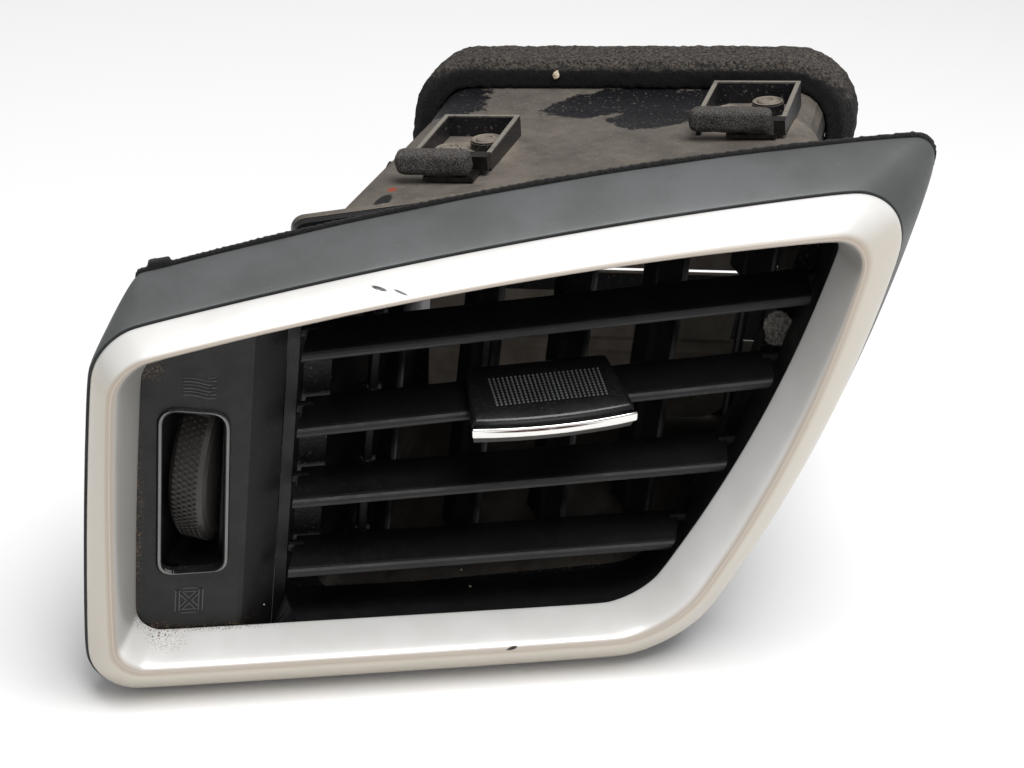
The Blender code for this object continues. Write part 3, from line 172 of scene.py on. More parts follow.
def soft_touch():
    """Soft-touch lacquer over ABS: a slate skin with a fine matt grain, dulled by dust on top."""
    made, tree, shader = finish_material("soft_touch_lacquer_on_abs", "#4a4d4e", 0.5)
    base = painted(tree, "#4a4c4c", "#555758", cloud(tree, 28.0, 0.35, 0.65))
    base = painted(tree, base, "#98968f", facing_up(tree, 0.2, 0.9),
                   cloud(tree, 1.1, 0.66, 0.74, 4.0, to=(0.0, 0.3)))
    feed(tree, shader, Base_Color=base, Roughness=cloud(tree, 9.0, 0.3, 0.7, 2.0, to=(0.44, 0.56)),
         Normal=add(tree, "ShaderNodeBump", None, {
             "Height": cloud(tree, 0.45, 0.3, 0.7, 1.0, 2.0), "Distance": 0.02 * MM, "Strength": 0.7}))
    return made


def silver():
    """Satin silver lacquer: a smooth pale coat with a painted beige reflection along the crest, soiled at its
    lower left.

    The cream of the outer flanks and the grey of the inner flanks at the sides are painted by the way
    the surface faces, to come near the photograph; on the real ring they may be shade and reflection.
    """
    made, tree, shader = finish_material("satin_silver_lacquer", "#e6e5e2", 0.36, 0.2)
    base = painted(tree, "#e3e2df", "#ebeae8", cloud(tree, 18.0, 0.35, 0.65, 3.0, 2.0))
    depth = add(tree, "ShaderNodeSeparateXYZ", None,
                {"Vector": add(tree, "ShaderNodeTexCoord").outputs["Object"]}).outputs["Y"]
    # The beige band along the crest is a painted reflection.
    crest = add(tree, "ShaderNodeMapRange", {"interpolation_type": 'SMOOTHSTEP'},
                {"Value": depth, "From Min": vent(0, -0.1, 0).y, "From Max": vent(0, 1.0, 0).y,
                 "To Min": 0.75, "To Max": 0.0})
    normal = add(tree, "ShaderNodeNewGeometry").outputs["Normal"]
    place = add(tree, "ShaderNodeTexCoord").outputs["Object"]
    offset = add(tree, "ShaderNodeVectorMath", {"operation": 'SUBTRACT'},
                 {0: place, 1: tuple(RING_MIDDLE)})
    outward = add(tree, "ShaderNodeVectorMath", {"operation": 'DOT_PRODUCT'}, {0: normal, 1: offset})
    # The cream of the outer flanks and the grey of the inner flanks are painted reflection and shade.
    outer = add(tree, "ShaderNodeMapRange", {"interpolation_type": 'SMOOTHSTEP'},
                {"Value": outward.outputs["Value"], "From Min": 0.0, "From Max": FLANK_BLEND})
    base = painted(tree, base, "#c9c1b4", outer, facing_up(tree, 0.7, 0.1))
    inner = add(tree, "ShaderNodeMapRange", {"interpolation_type": 'SMOOTHSTEP'},
                {"Value": outward.outputs["Value"], "From Min": 0.0, "From Max": -FLANK_BLEND})
    base = painted(tree, base, "#a8a6a2", inner, facing_up(tree, 0.4, 0.0))
    base = painted(tree, base, "#a3917d", crest)
    for place, radii, share in ((vent(-80.4, 10.4, 19.0), (3.4, 3.0, 8.0), 1.0),
                                (vent(-76.5, 10.2, 15.4), (8.0, 4.0, 2.4), 1.0),
                                (vent(-63.0, 10.8, 15.2), (24.0, 1.6, 1.4), 0.9),
                                (vent(-74.0, 8.0, 14.0), (9.0, 5.0, 3.0), 0.5),
                                (vent(-80.9, 10.8, 44.0), (1.2, 1.6, 36.0), 0.9)):
        base = painted(tree, base, "#694a30", near(tree, place, radii, 0.1),
                       cloud(tree, 0.42, 0.52, 0.6, 6.0, 2.0, 0.6, (0.0, share)))
    for place, radii, lean in ((vent(-31.0, 3.7, 108.8), (2.6, 2.0, 0.35), -0.1),
                               (vent(-26.6, 1.9, 108.7), (2.6, 2.0, 0.3), -0.2),
                               (vent(7.9, 0.2, 11.8), (1.7, 1.5, 0.55), 0.25)):
        base = painted(tree, base, "#231d1a", near(tree, place, radii, 0.55, (0.0, lean, 0.0)),
                       cloud(tree, 0.7, 0.3, 0.42, 14.0, 3.0))
    feed(tree, shader, Base_Color=base, Roughness=cloud(tree, 8.0, 0.3, 0.7, 2.0, to=(0.28, 0.34)),
         Normal=add(tree, "ShaderNodeBump", None, {
             "Height": cloud(tree, 0.9, 0.3, 0.7, 9.0, 2.0), "Distance": 0.003 * MM, "Strength": 0.4}))
    shader.inputs["Coat Weight"].default_value = 0.35
    shader.inputs["Coat Roughness"].default_value = 0.2
    return made


def moulded_black(name, low, high, roughness, grain_mm=0.5, depth_mm=0.04, dust=0.2, dirt=None):
    """Fine eroded grain on black ABS or polypropylene: dull, with dust on what faces up."""
    made, tree, shader = finish_material(name, low, roughness)
    shader.inputs["Specular IOR Level"].default_value = 0.4
    base = painted(tree, low, high, cloud(tree, 12.0, 0.3, 0.7))
    base = painted(tree, base, "#77706a", facing_up(tree),
                   cloud(tree, 0.8, 0.56, 0.7, 5.0, 3.0, 0.7, (0.0, dust)))
    for place, radii, share in dirt or ():
        grains = cloud(tree, 0.42, 0.54, 0.62, 12.0, 3.0, 0.7, (0.0, share))
        base = painted(tree, base, "#7c6346", near(tree, place, radii, 0.1), grains)
    spread = cloud(tree, 4.0, 0.3, 0.7, 2.0, to=(roughness - 0.06, roughness + 0.06))
    feed(tree, shader, Base_Color=base, Roughness=spread,
         Normal=add(tree, "ShaderNodeBump", None, {
             "Height": cloud(tree, grain_mm, 0.3, 0.7, 1.0, 2.0),
             "Distance": depth_mm * MM, "Strength": 0.8}))
    return made


def dusty_duct():
    """Black polypropylene under years of dust, wiped to a dark sheen in the middle of the roof; the roof's
    left rear corner is painted dark as shade.
    """
    made, tree, shader = finish_material("dusty_moulded_polypropylene", "#242327", 0.6)
    film = painted(tree, "#504a44", "#676058", cloud(tree, 20.0, 0.3, 0.7, 0.0, 5.0))
    for middle in (on_roof(-37.0, 24.0, 0.0), on_roof(27.0, 55.0, 0.0)):
        film = painted(tree, film, "#8b8175", near(tree, middle, (17.0, 22.0, 5.0), 0.5),
                       cloud(tree, 3.0, 0.3, 0.6, 9.0, to=(0.3, 0.75)))
    cover = painted(tree, "#000000", "#ffffff", facing_up(tree, 0.1, 0.9),
                    cloud(tree, 5.0, 0.2, 0.6, 3.0, 5.0, 0.7, (0.6, 1.0)))
    # The first three places are wiped roof; the last, the roof's left rear corner, is painted shade.
    for place, radii in ((on_roof(-10.0, 68.0, 0.0), (30.0, 15.0, 14.0)),
                         (on_roof(2.0, 56.0, 0.0), (17.0, 15.0, 12.0)),
                         (on_roof(14.0, 72.0, 0.0), (28.0, 11.0, 14.0)),
                         (on_roof(-57.0, 71.0, -3.0), (19.0, 26.0, 24.0))):
        ragged = add(tree, "ShaderNodeMath", {"operation": 'ADD'}, {
            0: near(tree, place, radii, 0.3), 1: cloud(tree, 4.0, 0.25, 0.75, 8.0, 5.0, 0.75, (-0.3, 0.3))})
        wiped_and_shaded = add(tree, "ShaderNodeMapRange", None, {"Value": ragged, "From Min": 0.4, "From Max": 0.55})
        cover = painted(tree, cover, "#0a0a0a", wiped_and_shaded)
    base = painted(tree, "#0e0e13", film, cover)
    base = painted(tree, base, "#8f8678", cloud(tree, 0.9, 0.6, 0.66, 11.0, 3.0, 0.7, (0.0, 0.45)))
    # The rail tops are painted lighter: dust and a painted highlight.
    coords = add(tree, "ShaderNodeTexCoord").outputs["Object"]
    over_roof = add(tree, "ShaderNodeVectorMath", {"operation": 'SUBTRACT'},
                    {0: coords, 1: tuple(on_roof(0, 0, 0))})
    height = add(tree, "ShaderNodeVectorMath", {"operation": 'DOT_PRODUCT'}, {0: over_roof, 1: tuple(ROOF_C)})
    rail_tops = add(tree, "ShaderNodeMapRange", None,
                    {"Value": height.outputs["Value"], "From Min": 3.5 * MM, "From Max": 3.9 * MM})
    base = painted(tree, base, "#7f7a72", rail_tops, cloud(tree, 2.0, 0.3, 0.5, 4.0, to=(0.3, 0.8)))
    # A near-black wedge at the roof's front left is painted shade.
    base = painted(tree, base, "#060506", near(tree, on_roof(-46.9, -15.0, 0.0), (2.0, 6.5, 4.0), 0.7,
                                               (0.0, 0.0, TURN)))
    base = painted(tree, base, "#8a3a26", near(tree, on_roof(-47.3, -5.8, 0.0), (1.4, 2.2, 2.0), 0.4,
                                               (0.0, 0.0, TURN)))
    rough = add(tree, "ShaderNodeMapRange", None, {"Value": cover, "To Min": 0.42, "To Max": 0.85})
    feed(tree, shader, Base_Color=base, Roughness=rough,
         Normal=add(tree, "ShaderNodeBump", None, {
             "Height": cloud(tree, 0.8, 0.3, 0.7, 1.0, 3.0), "Distance": 0.06 * MM, "Strength": 0.8}))
    return made


def dusty_flap():
    """Flap plates under an even coat of pale dust."""
    made, tree, shader = finish_material("dust_coated_flap", "#93887d", 0.85)
    base = painted(tree, "#8b8176", "#a59b90", cloud(tree, 9.0, 0.3, 0.7, 0.0, 5.0))
    base = painted(tree, base, "#6a5a4c", cloud(tree, 0.8, 0.64, 0.72, 7.0, 2.0, to=(0.0, 0.5)))
    feed(tree, shader, Base_Color=base, Normal=add(tree, "ShaderNodeBump", None, {
        "Height": cloud(tree, 0.7, 0.3, 0.7, 1.0, 3.0), "Distance": 0.06 * MM, "Strength": 0.6}))
    return made


def open_foam(name, low, high, lint, lint_share, cell_mm=0.9):
    """Open-cell foam: dull, torn cells that hold grey lint on the upper side."""
    made, tree, shader = finish_material(name, low, 0.95)
    base = painted(tree, low, high, cloud(tree, cell_mm, 0.42, 0.62, 1.0, 4.0, 0.75))
    base = painted(tree, base, lint, facing_up(tree, 0.35, 0.8),
                   cloud(tree, cell_mm, 0.42, 0.6, 4.0, 5.0, 0.8, (0.0, lint_share)))
    feed(tree, shader, Base_Color=base, Normal=add(tree, "ShaderNodeBump", None, {
        "Height": cloud(tree, cell_mm, 0.35, 0.65, 1.0, 4.0, 0.75), "Distance": 0.5 * MM, "Strength": 1.0}))
    shader.inputs["Specular IOR Level"].default_value = 0.15
    shader.inputs["Sheen Weight"].default_value = 0.08
    shader.inputs["Sheen Roughness"].default_value = 0.6
    return made


def black_felt():
    """Needle-punched felt tape: short black fibres with a soft edge."""
    made, tree, shader = finish_material("needle_felt_tape", "#121212", 0.95)
    base = painted(tree, "#070606", "#242220", cloud(tree, 0.5, 0.4, 0.7, roughness=0.8))
    feed(tree, shader, Base_Color=base, Normal=add(tree, "ShaderNodeBump", None, {
        "Height": cloud(tree, 0.5, 0.3, 0.7, roughness=0.8), "Distance": 0.25 * MM, "Strength": 1.0}))
    shader.inputs["Sheen Weight"].default_value = 0.1
    return made


def bright_chrome():
    """Chrome plating on ABS: a mirror with faint wipe marks and one dark line along its curve, a painted
    reflection.
    """
    made, tree, shader = finish_material("chrome_plated_abs", "#e6e4e1", 0.07, 1.0)
    # The dark red-brown line is a painted reflection.
    line = near(tree, on_knob(-2.5, 4.6, 0.6), (16.5, 4.0, 0.42), 0.6, (0.0, SLAT_2, 0.0))
    base = painted(tree, "#e6e4e1", "#3d1f18", line, cloud(tree, 7.0, 0.25, 0.5, 2.0, to=(0.5, 1.0)))
    feed(tree, shader, Base_Color=base, Roughness=cloud(tree, 3.0, 0.4, 0.7, to=(0.05, 0.13)))
    return made


def plain_metal(name, low, high, roughness):
    """Small steel parts: phosphated spring clip or zinc-plated screw."""
    made, tree, shader = finish_material(name, low, roughness, 0.9)
    feed(tree, shader, Base_Color=painted(tree, low, high, cloud(tree, 1.5, 0.35, 0.65)))
    return made


def matted(name, low, high, size_mm=0.9):
    """Matted lint or crumbled soil: dull, in pale and dark grains."""
    made, tree, shader = finish_material(name, low, 0.95)
    feed(tree, shader, Base_Color=painted(tree, low, high, cloud(tree, size_mm, 0.35, 0.65, 0.0, 5.0, 0.8)),
         Normal=add(tree, "ShaderNodeBump", None, {
             "Height": cloud(tree, size_mm, 0.3, 0.7, 1.0, 5.0, 0.8), "Distance": 0.4 * MM, "Strength": 1.0}))
    return made


def only(piece):
    """Select one object and make it active."""
    if bpy.context.object and bpy.context.object.mode != 'OBJECT':
        bpy.ops.object.mode_set(mode='OBJECT')
    bpy.ops.object.select_all(action='DESELECT')
    piece.select_set(True)
    bpy.context.view_layer.objects.active = piece
    return piece


def settle(piece):
    """Apply the piece's modifiers and its place, so that the object sits at the origin."""
    only(piece)
    for modifier in list(piece.modifiers):
        bpy.ops.object.modifier_apply(modifier=modifier.name)
    bpy.ops.object.transform_apply(location=True, rotation=True, scale=True)
    return piece


def join(name, parts):
    """Join finished parts into one piece."""
    bpy.ops.object.select_all(action='DESELECT')
    for part in parts:
        part.select_set(True)
    bpy.context.view_layer.objects.active = parts[0]
    bpy.ops.object.join()
    piece = bpy.context.object
    piece.name = name
    return piece


def give(piece, material):
    """Make this the piece's only material."""
    piece.data.materials.clear()
    piece.data.materials.append(material)
    return piece


def copy_of(node, name):
    """A welded copy of a CAD node, with four-sided faces where they are flat."""
    piece = NODES[node].copy()
    piece.data = NODES[node].data.copy()
    piece.name = name
    piece.parent = None
    for key in list(piece.keys()):
        del piece[key]
    bpy.context.scene.collection.objects.link(piece)
    only(piece)
    bpy.ops.object.mode_set(mode='EDIT')
    bpy.ops.mesh.select_all(action='SELECT')
    bpy.ops.mesh.remove_doubles(threshold=0.00001)
    bpy.ops.mesh.tris_convert_to_quads(face_threshold=radians(30), shape_threshold=radians(60))
    bpy.ops.mesh.normals_make_consistent(inside=False)
    bpy.ops.object.mode_set(mode='OBJECT')
    if piece.data.has_custom_normals:
        bpy.ops.mesh.customdata_custom_splitnormals_clear()
    return piece


def rounded_skin(node, name, levels, material, body):
    """The node's own shape with its facets rounded out."""
    piece = copy_of(node, name)
    round_off = piece.modifiers.new("rounding", 'SUBSURF')
    round_off.levels = levels
    round_off.render_levels = levels
    settle(piece)
    bpy.ops.object.shade_smooth()
    give(piece, material)
    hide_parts(node)
    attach(piece, body)
    return piece


def ruffle(piece, name, size_mm, depth_mm):
    """Push the surface in and out by a cloud pattern."""
    pattern = bpy.data.textures.new(name, 'CLOUDS')
    pattern.noise_scale = size_mm * MM
    step = piece.modifiers.new(name, 'DISPLACE')
    step.texture = pattern
    step.texture_coords = 'LOCAL'
    step.strength = depth_mm * MM
    step.mid_level = 0.5
    return piece


def foam_piece(node, name, voxel_mm, eased, ruffles, material, body):
    """Soft piece in the CAD solid's place: eased at its edges, then torn and ruffled."""
    piece = copy_of(node, name)
    grid = piece.modifiers.new("cells", 'REMESH')
    grid.mode = 'VOXEL'
    grid.voxel_size = voxel_mm * MM
    relax = piece.modifiers.new("relax", 'SMOOTH')
    relax.factor = 0.5
    relax.iterations = eased
    for k, (size, depth) in enumerate(ruffles):
        ruffle(piece, f"{name}_ruffle_{k}", size, depth)
    settle(piece)
    bpy.ops.object.shade_smooth()
    give(piece, material)
    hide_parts(node)
    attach(piece, body)
    return piece


SOFT_TOUCH = soft_touch()
SILVER = silver()
PANEL_BLACK = moulded_black("spark_grained_black_abs", "#0f0e0e", "#151414", 0.55, dirt=(
    (vent(-81.4, 11.0, 44.0), (2.6, 6.0, 44.0), 1.0), (vent(-78.0, 11.0, 15.4), (12.0, 6.0, 3.0), 1.0),
    (vent(-60.0, 11.0, 15.2), (24.0, 9.0, 1.6), 0.8), (vent(-79.0, 11.0, 86.0), (6.0, 6.0, 5.0), 0.9)))
WHEEL_BLACK = moulded_black("moulded_black_wheel_abs", "#2a2826", "#383532", 0.45, 0.4, 0.03, 0.3)
LOUVRE_BLACK = moulded_black("satin_black_louvre_pp", "#0f0f11", "#161617", 0.5, 0.4, 0.02, 0.12)
KNOB_BLACK = moulded_black("polished_black_knob_abs", "#141415", "#1b1b1d", 0.2, 0.4, 0.006, 0.1)
DUCT = dusty_duct()
FLAP = dusty_flap()
LINT = matted("matted_grey_lint", "#6f6962", "#c2bcb4")
CRUMB = matted("dry_cream_crumb", "#cdb896", "#efe2cc", 1.2)
# The grip's studs are coloured lighter grey than the knob.
GRIP = moulded_black("light_grey_grip_abs", "#565858", "#707272", 0.32, 0.4, 0.01, 0.3)
SIGN_FLOOR = moulded_black("deep_black_sign_abs", "#040405", "#08080a", 0.6, 0.4, 0.01, 0.0)
# The signs' lighter edges are a painted highlight on their raised ridges.
SIGN_EDGE = moulded_black("sign_edge_abs_painted_highlight", "#403f3f", "#4c4b4b", 0.4, 0.4, 0.01, 0.1)
# The rim's light grey is a painted highlight.
RIM = moulded_black("black_rim_abs_painted_highlight", "#6d6c6b", "#7b7a78", 0.3, 0.4, 0.01, 0.1)
CHROME = bright_chrome()
FELT = black_felt()

dress(PANEL_BLACK, "fascia_panel")
dress(WHEEL_BLACK, "thumbwheel", "knob_fork")
dress(LOUVRE_BLACK, "slat_1", "slat_2", "slat_3", "slat_4", "louvre_housing", "vane_1", "vane_2",
      "vane_3", "vane_4", "vane_5", "slat_link", "vane_link", "drive_rod", "flap_link",
      "flap_crank_upper", "flap_crank_lower", "wheel_bracket", "wheel_crank")
dress(DUCT, "duct")
dress(FLAP, "flap_upper", "flap_lower")
dress(plain_metal("phosphated_spring_steel", "#2c2b2a", "#3d3a37", 0.45), "clip_left", "clip_right")
dress(plain_metal("zinc_plated_steel", "#9a978f", "#b8b4a8", 0.35), "duct_screw_1", "duct_screw_2",
      "duct_screw_3", "duct_screw_4")


def trim():
    """Ring and bezel, with the facets of their solids rounded out."""
    rounded_skin("trim_ring", "silver_ring", 2, SILVER, "vent")
    rounded_skin("bezel", "soft_bezel", 2, SOFT_TOUCH, "vent")


def soft_parts():
    """Foam seal round the duct's mouth, the two foam rolls and the felt tape."""
    seal = foam_piece("duct_seal", "foam_seal", 0.8, 2, ((9.0, 0.6), (1.6, 0.6)),
                      open_foam("dusty_open_cell_foam", "#050506", "#121111", "#7a7066", 0.75, 0.8), "vent")
    pad_foam = open_foam("torn_foam_roll", "#2e2c2b", "#75706c", "#8a837d", 0.6, 0.36)
    for side in ("left", "right"):
        pad = foam_piece(f"pad_{side}", f"foam_roll_{side}", 0.45, 2, ((4.0, 0.6), (0.9, 0.3)),
                         pad_foam, "vent")
    foam_piece("edge_felt", "felt_tape", 0.4, 1, ((1.2, 0.3),), FELT, "vent")


def knob_pieces():
    """Slider: its body and its chrome strip, with rounded edges."""
    for node, name, width, material in (("knob_body", "knob_shell", 1.5, KNOB_BLACK),
                                        ("knob_chrome", "chrome_strip", 0.5, CHROME)):
        piece = copy_of(node, name)
        edges = piece.modifiers.new("edges", 'BEVEL')
        edges.width = width * MM
        edges.segments = 5
        edges.limit_method = 'ANGLE'
        edges.angle_limit = radians(35)
        settle(piece)
        bpy.ops.object.shade_smooth_by_angle(angle=radians(35))
        give(piece, material)
        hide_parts(node)
        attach(piece, "knob")


def knurl():
    """Moulded grip on the knob: rows of small blunt studs, lighter grey than the knob."""
    bpy.ops.mesh.primitive_cone_add(vertices=6, radius1=0.38 * MM, radius2=0.12 * MM, depth=0.5 * MM)
    stud = bpy.context.object
    stud.scale = (1.0, 0.7, 1.0)
    bpy.ops.object.transform_apply(location=False, rotation=False, scale=True)
    bpy.ops.object.mode_set(mode='EDIT')
    bpy.ops.mesh.select_all(action='SELECT')
    bpy.ops.mesh.bevel(offset=0.06 * MM, segments=1)
    bpy.ops.object.mode_set(mode='OBJECT')
    for name, count, step in (("across", 26, (1.04 * MM, 0, 0)), ("along", 11, (0, 0.86 * MM, 0))):
        row = stud.modifiers.new(name, 'ARRAY')
        row.count = count
        row.use_relative_offset = False
        row.use_constant_offset = True
        row.constant_offset_displace = step
    corner, right, back = on_knob(-12.6, 9.9, 3.9), on_knob(13.4, 9.9, 3.9), on_knob(-12.6, 18.9, 5.82)
    side, rear = (right - corner).normalized(), (back - corner).normalized()
    up = side.cross(rear).normalized()
    stud.matrix_world = Matrix((side, up.cross(side), up)).transposed().to_4x4()
    stud.location = corner + up * 0.00012
    stud.name = "knob_knurl"
    settle(stud)
    give(stud, GRIP)
    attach(stud, "knob")


LUG_COLUMNS = 5
LUG_ROWS = 88
LUG_STEP = radians(3.75)


def wheel_lugs():
    """Five columns of small lugs round the thumbwheel's rim, and a plain tab."""
    centre = vent(*(Vector((ROOF_POINT.x, ROOF_POINT.y, 0)) + U * -75.9 + V * -34.0 + Z * 52.6))
    lugs = []
    for column in range(LUG_COLUMNS):
        bpy.ops.mesh.primitive_cube_add(size=1.0)
        lug = bpy.context.object
        lug.scale = (0.85 * MM, 0.75 * MM, 0.9 * MM)
        lug.location = ((column - 2) * 1.25 * MM - 0.55 * MM, column % 2 * 0.72 * MM, 22.05 * MM)
        bpy.ops.object.transform_apply(location=True, rotation=True, scale=True)
        bpy.ops.object.mode_set(mode='EDIT')
        bpy.ops.mesh.select_all(action='SELECT')
        bpy.ops.mesh.bevel(offset=0.16 * MM, segments=1)
        bpy.ops.object.mode_set(mode='OBJECT')
        lugs.append(lug)
    row = join("lug_row", lugs)
    step = bpy.data.objects.new("lug_step", None)
    bpy.context.scene.collection.objects.link(step)
    step.rotation_euler = (LUG_STEP, 0, 0)
    bpy.context.view_layer.update()
    around = row.modifiers.new("around", 'ARRAY')
    around.use_relative_offset = False
    around.use_object_offset = True
    around.offset_object = step
    around.count = LUG_ROWS
    only(row)
    bpy.ops.object.modifier_apply(modifier="around")
    bpy.data.objects.remove(step)
    bpy.ops.mesh.primitive_cube_add(size=1.0)
    tab = bpy.context.object
    tab.scale = (6.4 * MM, 3.0 * MM, 1.2 * MM)
    tab.location = (-0.4 * MM, 2.9 * MM, 22.0 * MM)
    tab.rotation_euler = (radians(-7.5), 0, 0)
    bpy.ops.object.transform_apply(location=True, rotation=True, scale=True)
    bpy.ops.object.mode_set(mode='EDIT')
    bpy.ops.mesh.select_all(action='SELECT')
    bpy.ops.mesh.bevel(offset=0.35 * MM, segments=3)
    bpy.ops.object.mode_set(mode='OBJECT')
    row = join("wheel_lugs", [row, tab])
    row.matrix_world = (Matrix.Translation(centre) @ Matrix((U, V, Z)).transposed().to_4x4()
                        @ Matrix.Rotation(radians(46.0), 4, 'X'))
    settle(row)
    give(row, WHEEL_BLACK)
    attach(row, "wheel")


PANEL_FRONT = 11.5


def raised_line(name, points, width_mm=0.8, height_mm=0.28, closed=False):
    """A moulded line on the panel: a flat bar drawn out from point to point."""
    bpy.ops.mesh.primitive_plane_add(size=1.0, rotation=(0, radians(90), 0))
    line = bpy.context.object
    line.name = name
    line.scale = (height_mm * MM, width_mm * MM, 1.0)
    bpy.ops.object.transform_apply(location=False, rotation=True, scale=True)
    way = Vector((points[1][0] - points[0][0], 0, points[1][1] - points[0][1])).normalized()
    side = Vector((way.z, 0, -way.x))
    only(line)
    turned = Matrix((way, side, way.cross(side))).transposed().to_4x4()
    line.matrix_world = Matrix.Translation(vent(points[0][0], PANEL_FRONT, points[0][1])) @ turned
    bpy.ops.object.transform_apply(location=True, rotation=True, scale=True)
    bpy.ops.object.mode_set(mode='EDIT')
    bpy.ops.mesh.select_all(action='SELECT')
    for start, end in zip(points, points[1:] + (points[:1] if closed else [])):
        step = ((end[0] - start[0]) * MM, 0.0, (end[1] - start[1]) * MM)
        bpy.ops.mesh.extrude_region_move(TRANSFORM_OT_translate={"value": step})
    bpy.ops.mesh.select_all(action='SELECT')
    bpy.ops.mesh.normals_make_consistent(inside=False)
    bpy.ops.object.mode_set(mode='OBJECT')
    return line


def pictograms():
    """Moulded signs on the panel: waves for open, and a crossed square for shut."""
    lines = []
    for row in range(3):
        x, z = -71.3, 82.9 - row * 1.72
        lines.append([(x, z), (x + 1.6, z + 0.02), (x + 3.1, z - 0.3), (x + 5.2, z - 1.0),
                      (x + 7.2, z - 1.12)])
        lines.append([(x + 5.6, z - 0.4), (x + 6.3, z - 0.15), (x + 7.2, z - 0.1)])
    left, right, low, high = -71.1, -65.7, 20.2, 26.2
    lines += [[(left, low), (left, high)], [(right, low), (right, high)],
              [(left + 0.9, high), (right - 0.9, high)], [(left + 0.9, low), (right - 0.9, low)],
              [(left + 0.9, low + 0.9), (right - 0.9, high - 0.9)],
              [(left + 0.9, high - 0.9), (right - 0.9, low + 0.9)]]
    # The wider edge strokes are painted light grey as a highlight on the raised sign edges.
    for name, width, height, material in (("sign_edges", 1.15, 0.2, SIGN_EDGE),
                                          ("sign_strokes", 0.62, 0.3, SIGN_FLOOR)):
        strokes = [raised_line(f"{name}_{k}", line, width, height + 0.008 * k)
                   for k, line in enumerate(lines)]
        signs = settle(join(name, strokes))
        give(signs, material)
        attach(signs, "vent")


def ringed_cap(name, place, steps):
    """A round cap drawn up from a circle, ring by ring; steps give radius and height in mm."""
    bpy.ops.mesh.primitive_circle_add(vertices=32, radius=steps[0][0] * MM)
    cap = bpy.context.object
    cap.name = name
    bpy.ops.object.mode_set(mode='EDIT')
    bpy.ops.mesh.select_all(action='SELECT')
    for (radius, height), (wider, lower) in zip(steps[1:], steps):
        bpy.ops.mesh.extrude_edges_move(TRANSFORM_OT_translate={"value": (0, 0, (height - lower) * MM)})
        bpy.ops.transform.resize(value=(radius / wider, radius / wider, 1.0))
    bpy.ops.mesh.edge_face_add()
    bpy.ops.mesh.select_all(action='SELECT')
    bpy.ops.mesh.normals_make_consistent(inside=False)
    bpy.ops.object.mode_set(mode='OBJECT')
    cap.matrix_world = Matrix((ROOF_A, ROOF_B, ROOF_C)).transposed().to_4x4()
    cap.location = place
    settle(cap)
    bpy.ops.object.shade_smooth_by_angle(angle=radians(50))
    return cap


def boss_caps():
    """Heat-staked domes with rings on the bracket bosses."""
    caps = []
    for a, b, r in ((-33.4, 28.5, 4.0), (-41.2, 21.4, 3.3), (30.5, 61.2, 4.0), (21.9, 54.6, 3.3)):
        steps = ((r - 0.15, -0.1), (r - 0.2, 0.35), (r - 0.5, 0.5), (r - 0.8, 0.35), (r - 1.0, 0.1),
                 (r - 1.3, 0.1), (r - 1.5, 0.45), (r - 1.8, 0.6), (r * 0.35, 0.65), (r * 0.3, 0.4),
                 (r * 0.1, 0.4))
        caps.append(ringed_cap("boss_cap", on_roof(a, b, 0.8), steps))
    piece = join("boss_domes", caps)
    give(piece, DUCT)
    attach(piece, "vent")


def window_rim():
    """Fine raised rim round the wheel's window, glossy, its light grey a painted highlight."""
    corners = ((-75.6, 31.2), (-60.2, 31.4), (-61.2, 73.9), (-76.3, 75.8))
    radii = (4.0, 3.4, 4.2, 4.2)
    path = []
    for k, (x, z) in enumerate(corners):
        here = Vector((x, z))
        before = (Vector(corners[k - 1]) - here).normalized()
        after = (Vector(corners[(k + 1) % 4]) - here).normalized()
        start, end = here + before * radii[k], here + after * radii[k]
        for step in range(7):
            t = step / 6
            point = start * (1 - t) ** 2 + here * (2 * t * (1 - t)) + end * t ** 2
            path.append((point.x, point.y))
    rim = raised_line("window_rim", path, 0.6, 1.5, closed=True)
    settle(rim)
    give(rim, RIM)
    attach(rim, "vent")


def clump(name, place, normal, size_mm, body, material, seed_mm, depth_mm, detail=4):
    """A loose lump of lint or a crumb, flattened on what it lies on."""
    bpy.ops.mesh.primitive_ico_sphere_add(subdivisions=detail, radius=1.0)
    lump = bpy.context.object
    lump.name = name
    up = Vector(normal).normalized()
    side = up.cross(Z).normalized() if abs(up.z) < 0.9 else up.cross(U).normalized()
    stretch = Matrix.Diagonal((size_mm[0] / 2 * MM, size_mm[1] / 2 * MM, size_mm[2] / 2 * MM, 1.0))
    lump.matrix_world = (Matrix.Translation(place) @ Matrix((side, up.cross(side), up)).transposed().to_4x4()
                         @ stretch)
    only(lump)
    bpy.ops.object.transform_apply(location=True, rotation=True, scale=True)
    ruffle(lump, name + "_rough", seed_mm, depth_mm)
    ruffle(lump, name + "_fine", seed_mm * 0.3, depth_mm * 0.5)
    settle(lump)
    give(lump, material)
    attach(lump, body)
    return lump


def litter():
    """What has drifted into the vent: a mat of lint, and crumbs."""
    clump("lint_mat", vent(73.6, 27.4, 82.6), (-0.3, -0.93, 0.15), (7.0, 9.0, 1.6), "vent", LINT,
          3.0, 2.4, 5)
    clump("seal_crumb", vent(35.0, 108.0, 114.4), (-0.5, -0.6, 0.6), (1.5, 2.6, 1.1), "vent", CRUMB,
          1.2, 0.7)
    clump("floor_crumb_1", vent(2.3, 32.0, 12.8), (0, 0, 1), (0.9, 0.7, 0.5), "vent", CRUMB, 0.5, 0.2, 3)
    clump("floor_crumb_2", vent(2.9, 24.6, 12.9), (0, 0, 1), (0.6, 0.8, 0.5), "vent", CRUMB, 0.5, 0.2, 3)
    clump("floor_crumb_3", vent(-49.6, 17.8, 16.0), (0.6, -0.6, 0.4), (0.5, 0.5, 0.4), "vent", CRUMB,
          0.4, 0.1, 3)


trim()
soft_parts()
knob_pieces()
knurl()
wheel_lugs()
pictograms()
boss_caps()
window_rim()
litter()


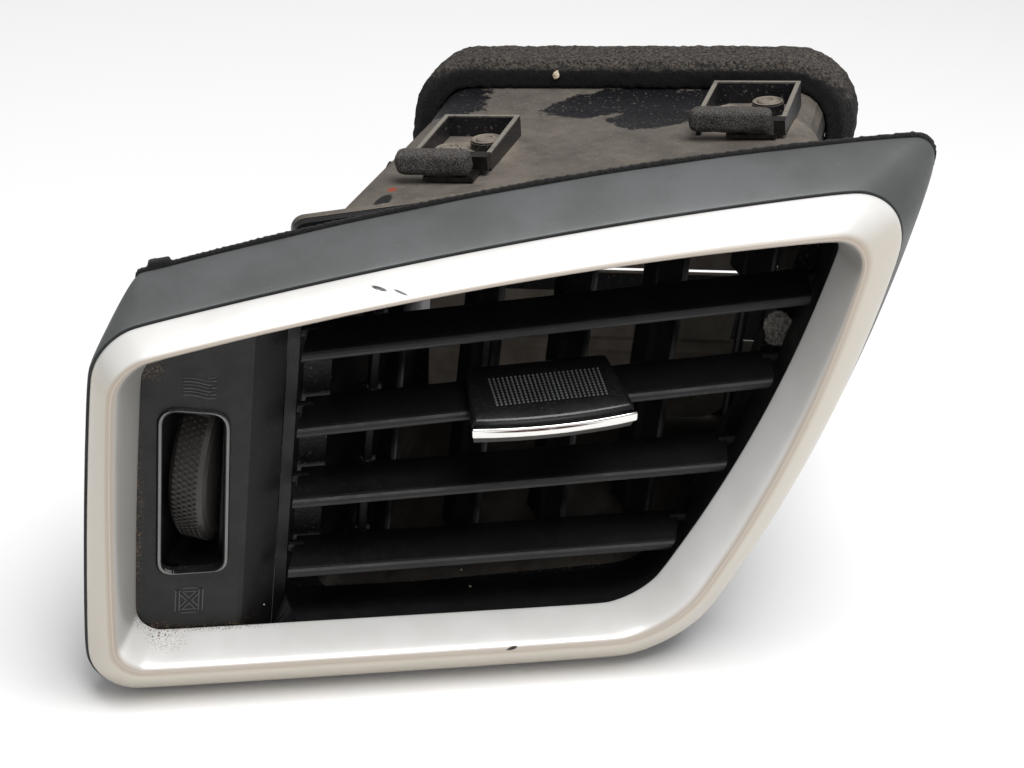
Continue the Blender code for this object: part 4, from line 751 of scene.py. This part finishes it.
def plain_floor():
    """Sheet of matt white paper under the vent."""
    bpy.ops.mesh.primitive_plane_add(size=6.0, location=(0.0, 0.0, -0.0005))
    floor = bpy.context.object
    floor.name = "floor"
    made = finish_material("matt_white_paper", "#f7f7f7", 0.9)[0]
    floor.data.materials.append(made)


def soft_box(name, place, target, size, power):
    """A rectangular lamp turned to its target."""
    bpy.ops.object.light_add(type='AREA', location=place)
    lamp = bpy.context.object
    lamp.name = name
    lamp.data.shape = 'RECTANGLE'
    lamp.data.size = size[0]
    lamp.data.size_y = size[1]
    lamp.data.energy = power
    lamp.rotation_euler = (Vector(target) - Vector(place)).to_track_quat('-Z', 'Y').to_euler()


def studio():
    """Plain white surround with a soft lamp above the front and a weak one before the vent."""
    plain_floor()
    world = bpy.data.worlds.new("studio")
    bpy.context.scene.world = world
    world.use_nodes = True
    world.node_tree.nodes["Background"].inputs["Color"].default_value = (1.0, 1.0, 1.0, 1.0)
    world.node_tree.nodes["Background"].inputs["Strength"].default_value = 0.3
    soft_box("top_light", (0.1, -0.3, 1.15), (0, 0, 0.05), (0.8, 0.8), 15.5)
    soft_box("front_light", (0.2, -1.2, 0.7), (0, 0, 0.06), (0.6, 0.5), 1.6)


def photo_camera():
    """Camera at the photograph's angle; its roll brings the ring's lower edge level."""
    azimuth, elevation, roll = radians(-17.0), radians(30.0), radians(-6.8)
    back = Vector((sin(azimuth) * cos(elevation), -cos(azimuth) * cos(elevation), sin(elevation)))
    right = Z.cross(back).normalized()
    up = back.cross(right)
    turned_right = right * cos(roll) - up * sin(roll)
    turned_up = up * cos(roll) + right * sin(roll)
    place = vent(0.0, 0.0, 86.0) + back * 0.4889
    matrix = Matrix((turned_right, turned_up, back)).transposed().to_4x4()
    matrix.translation = place
    data = bpy.data.cameras.new("photo_camera")
    data.lens = 77.34
    data.sensor_width = 36.0
    data.clip_start = 0.01
    camera = bpy.data.objects.new("photo_camera", data)
    bpy.context.scene.collection.objects.link(camera)
    camera.matrix_world = matrix
    bpy.context.scene.camera = camera


studio()
photo_camera()
bpy.context.scene.view_settings.view_transform = 'Standard'
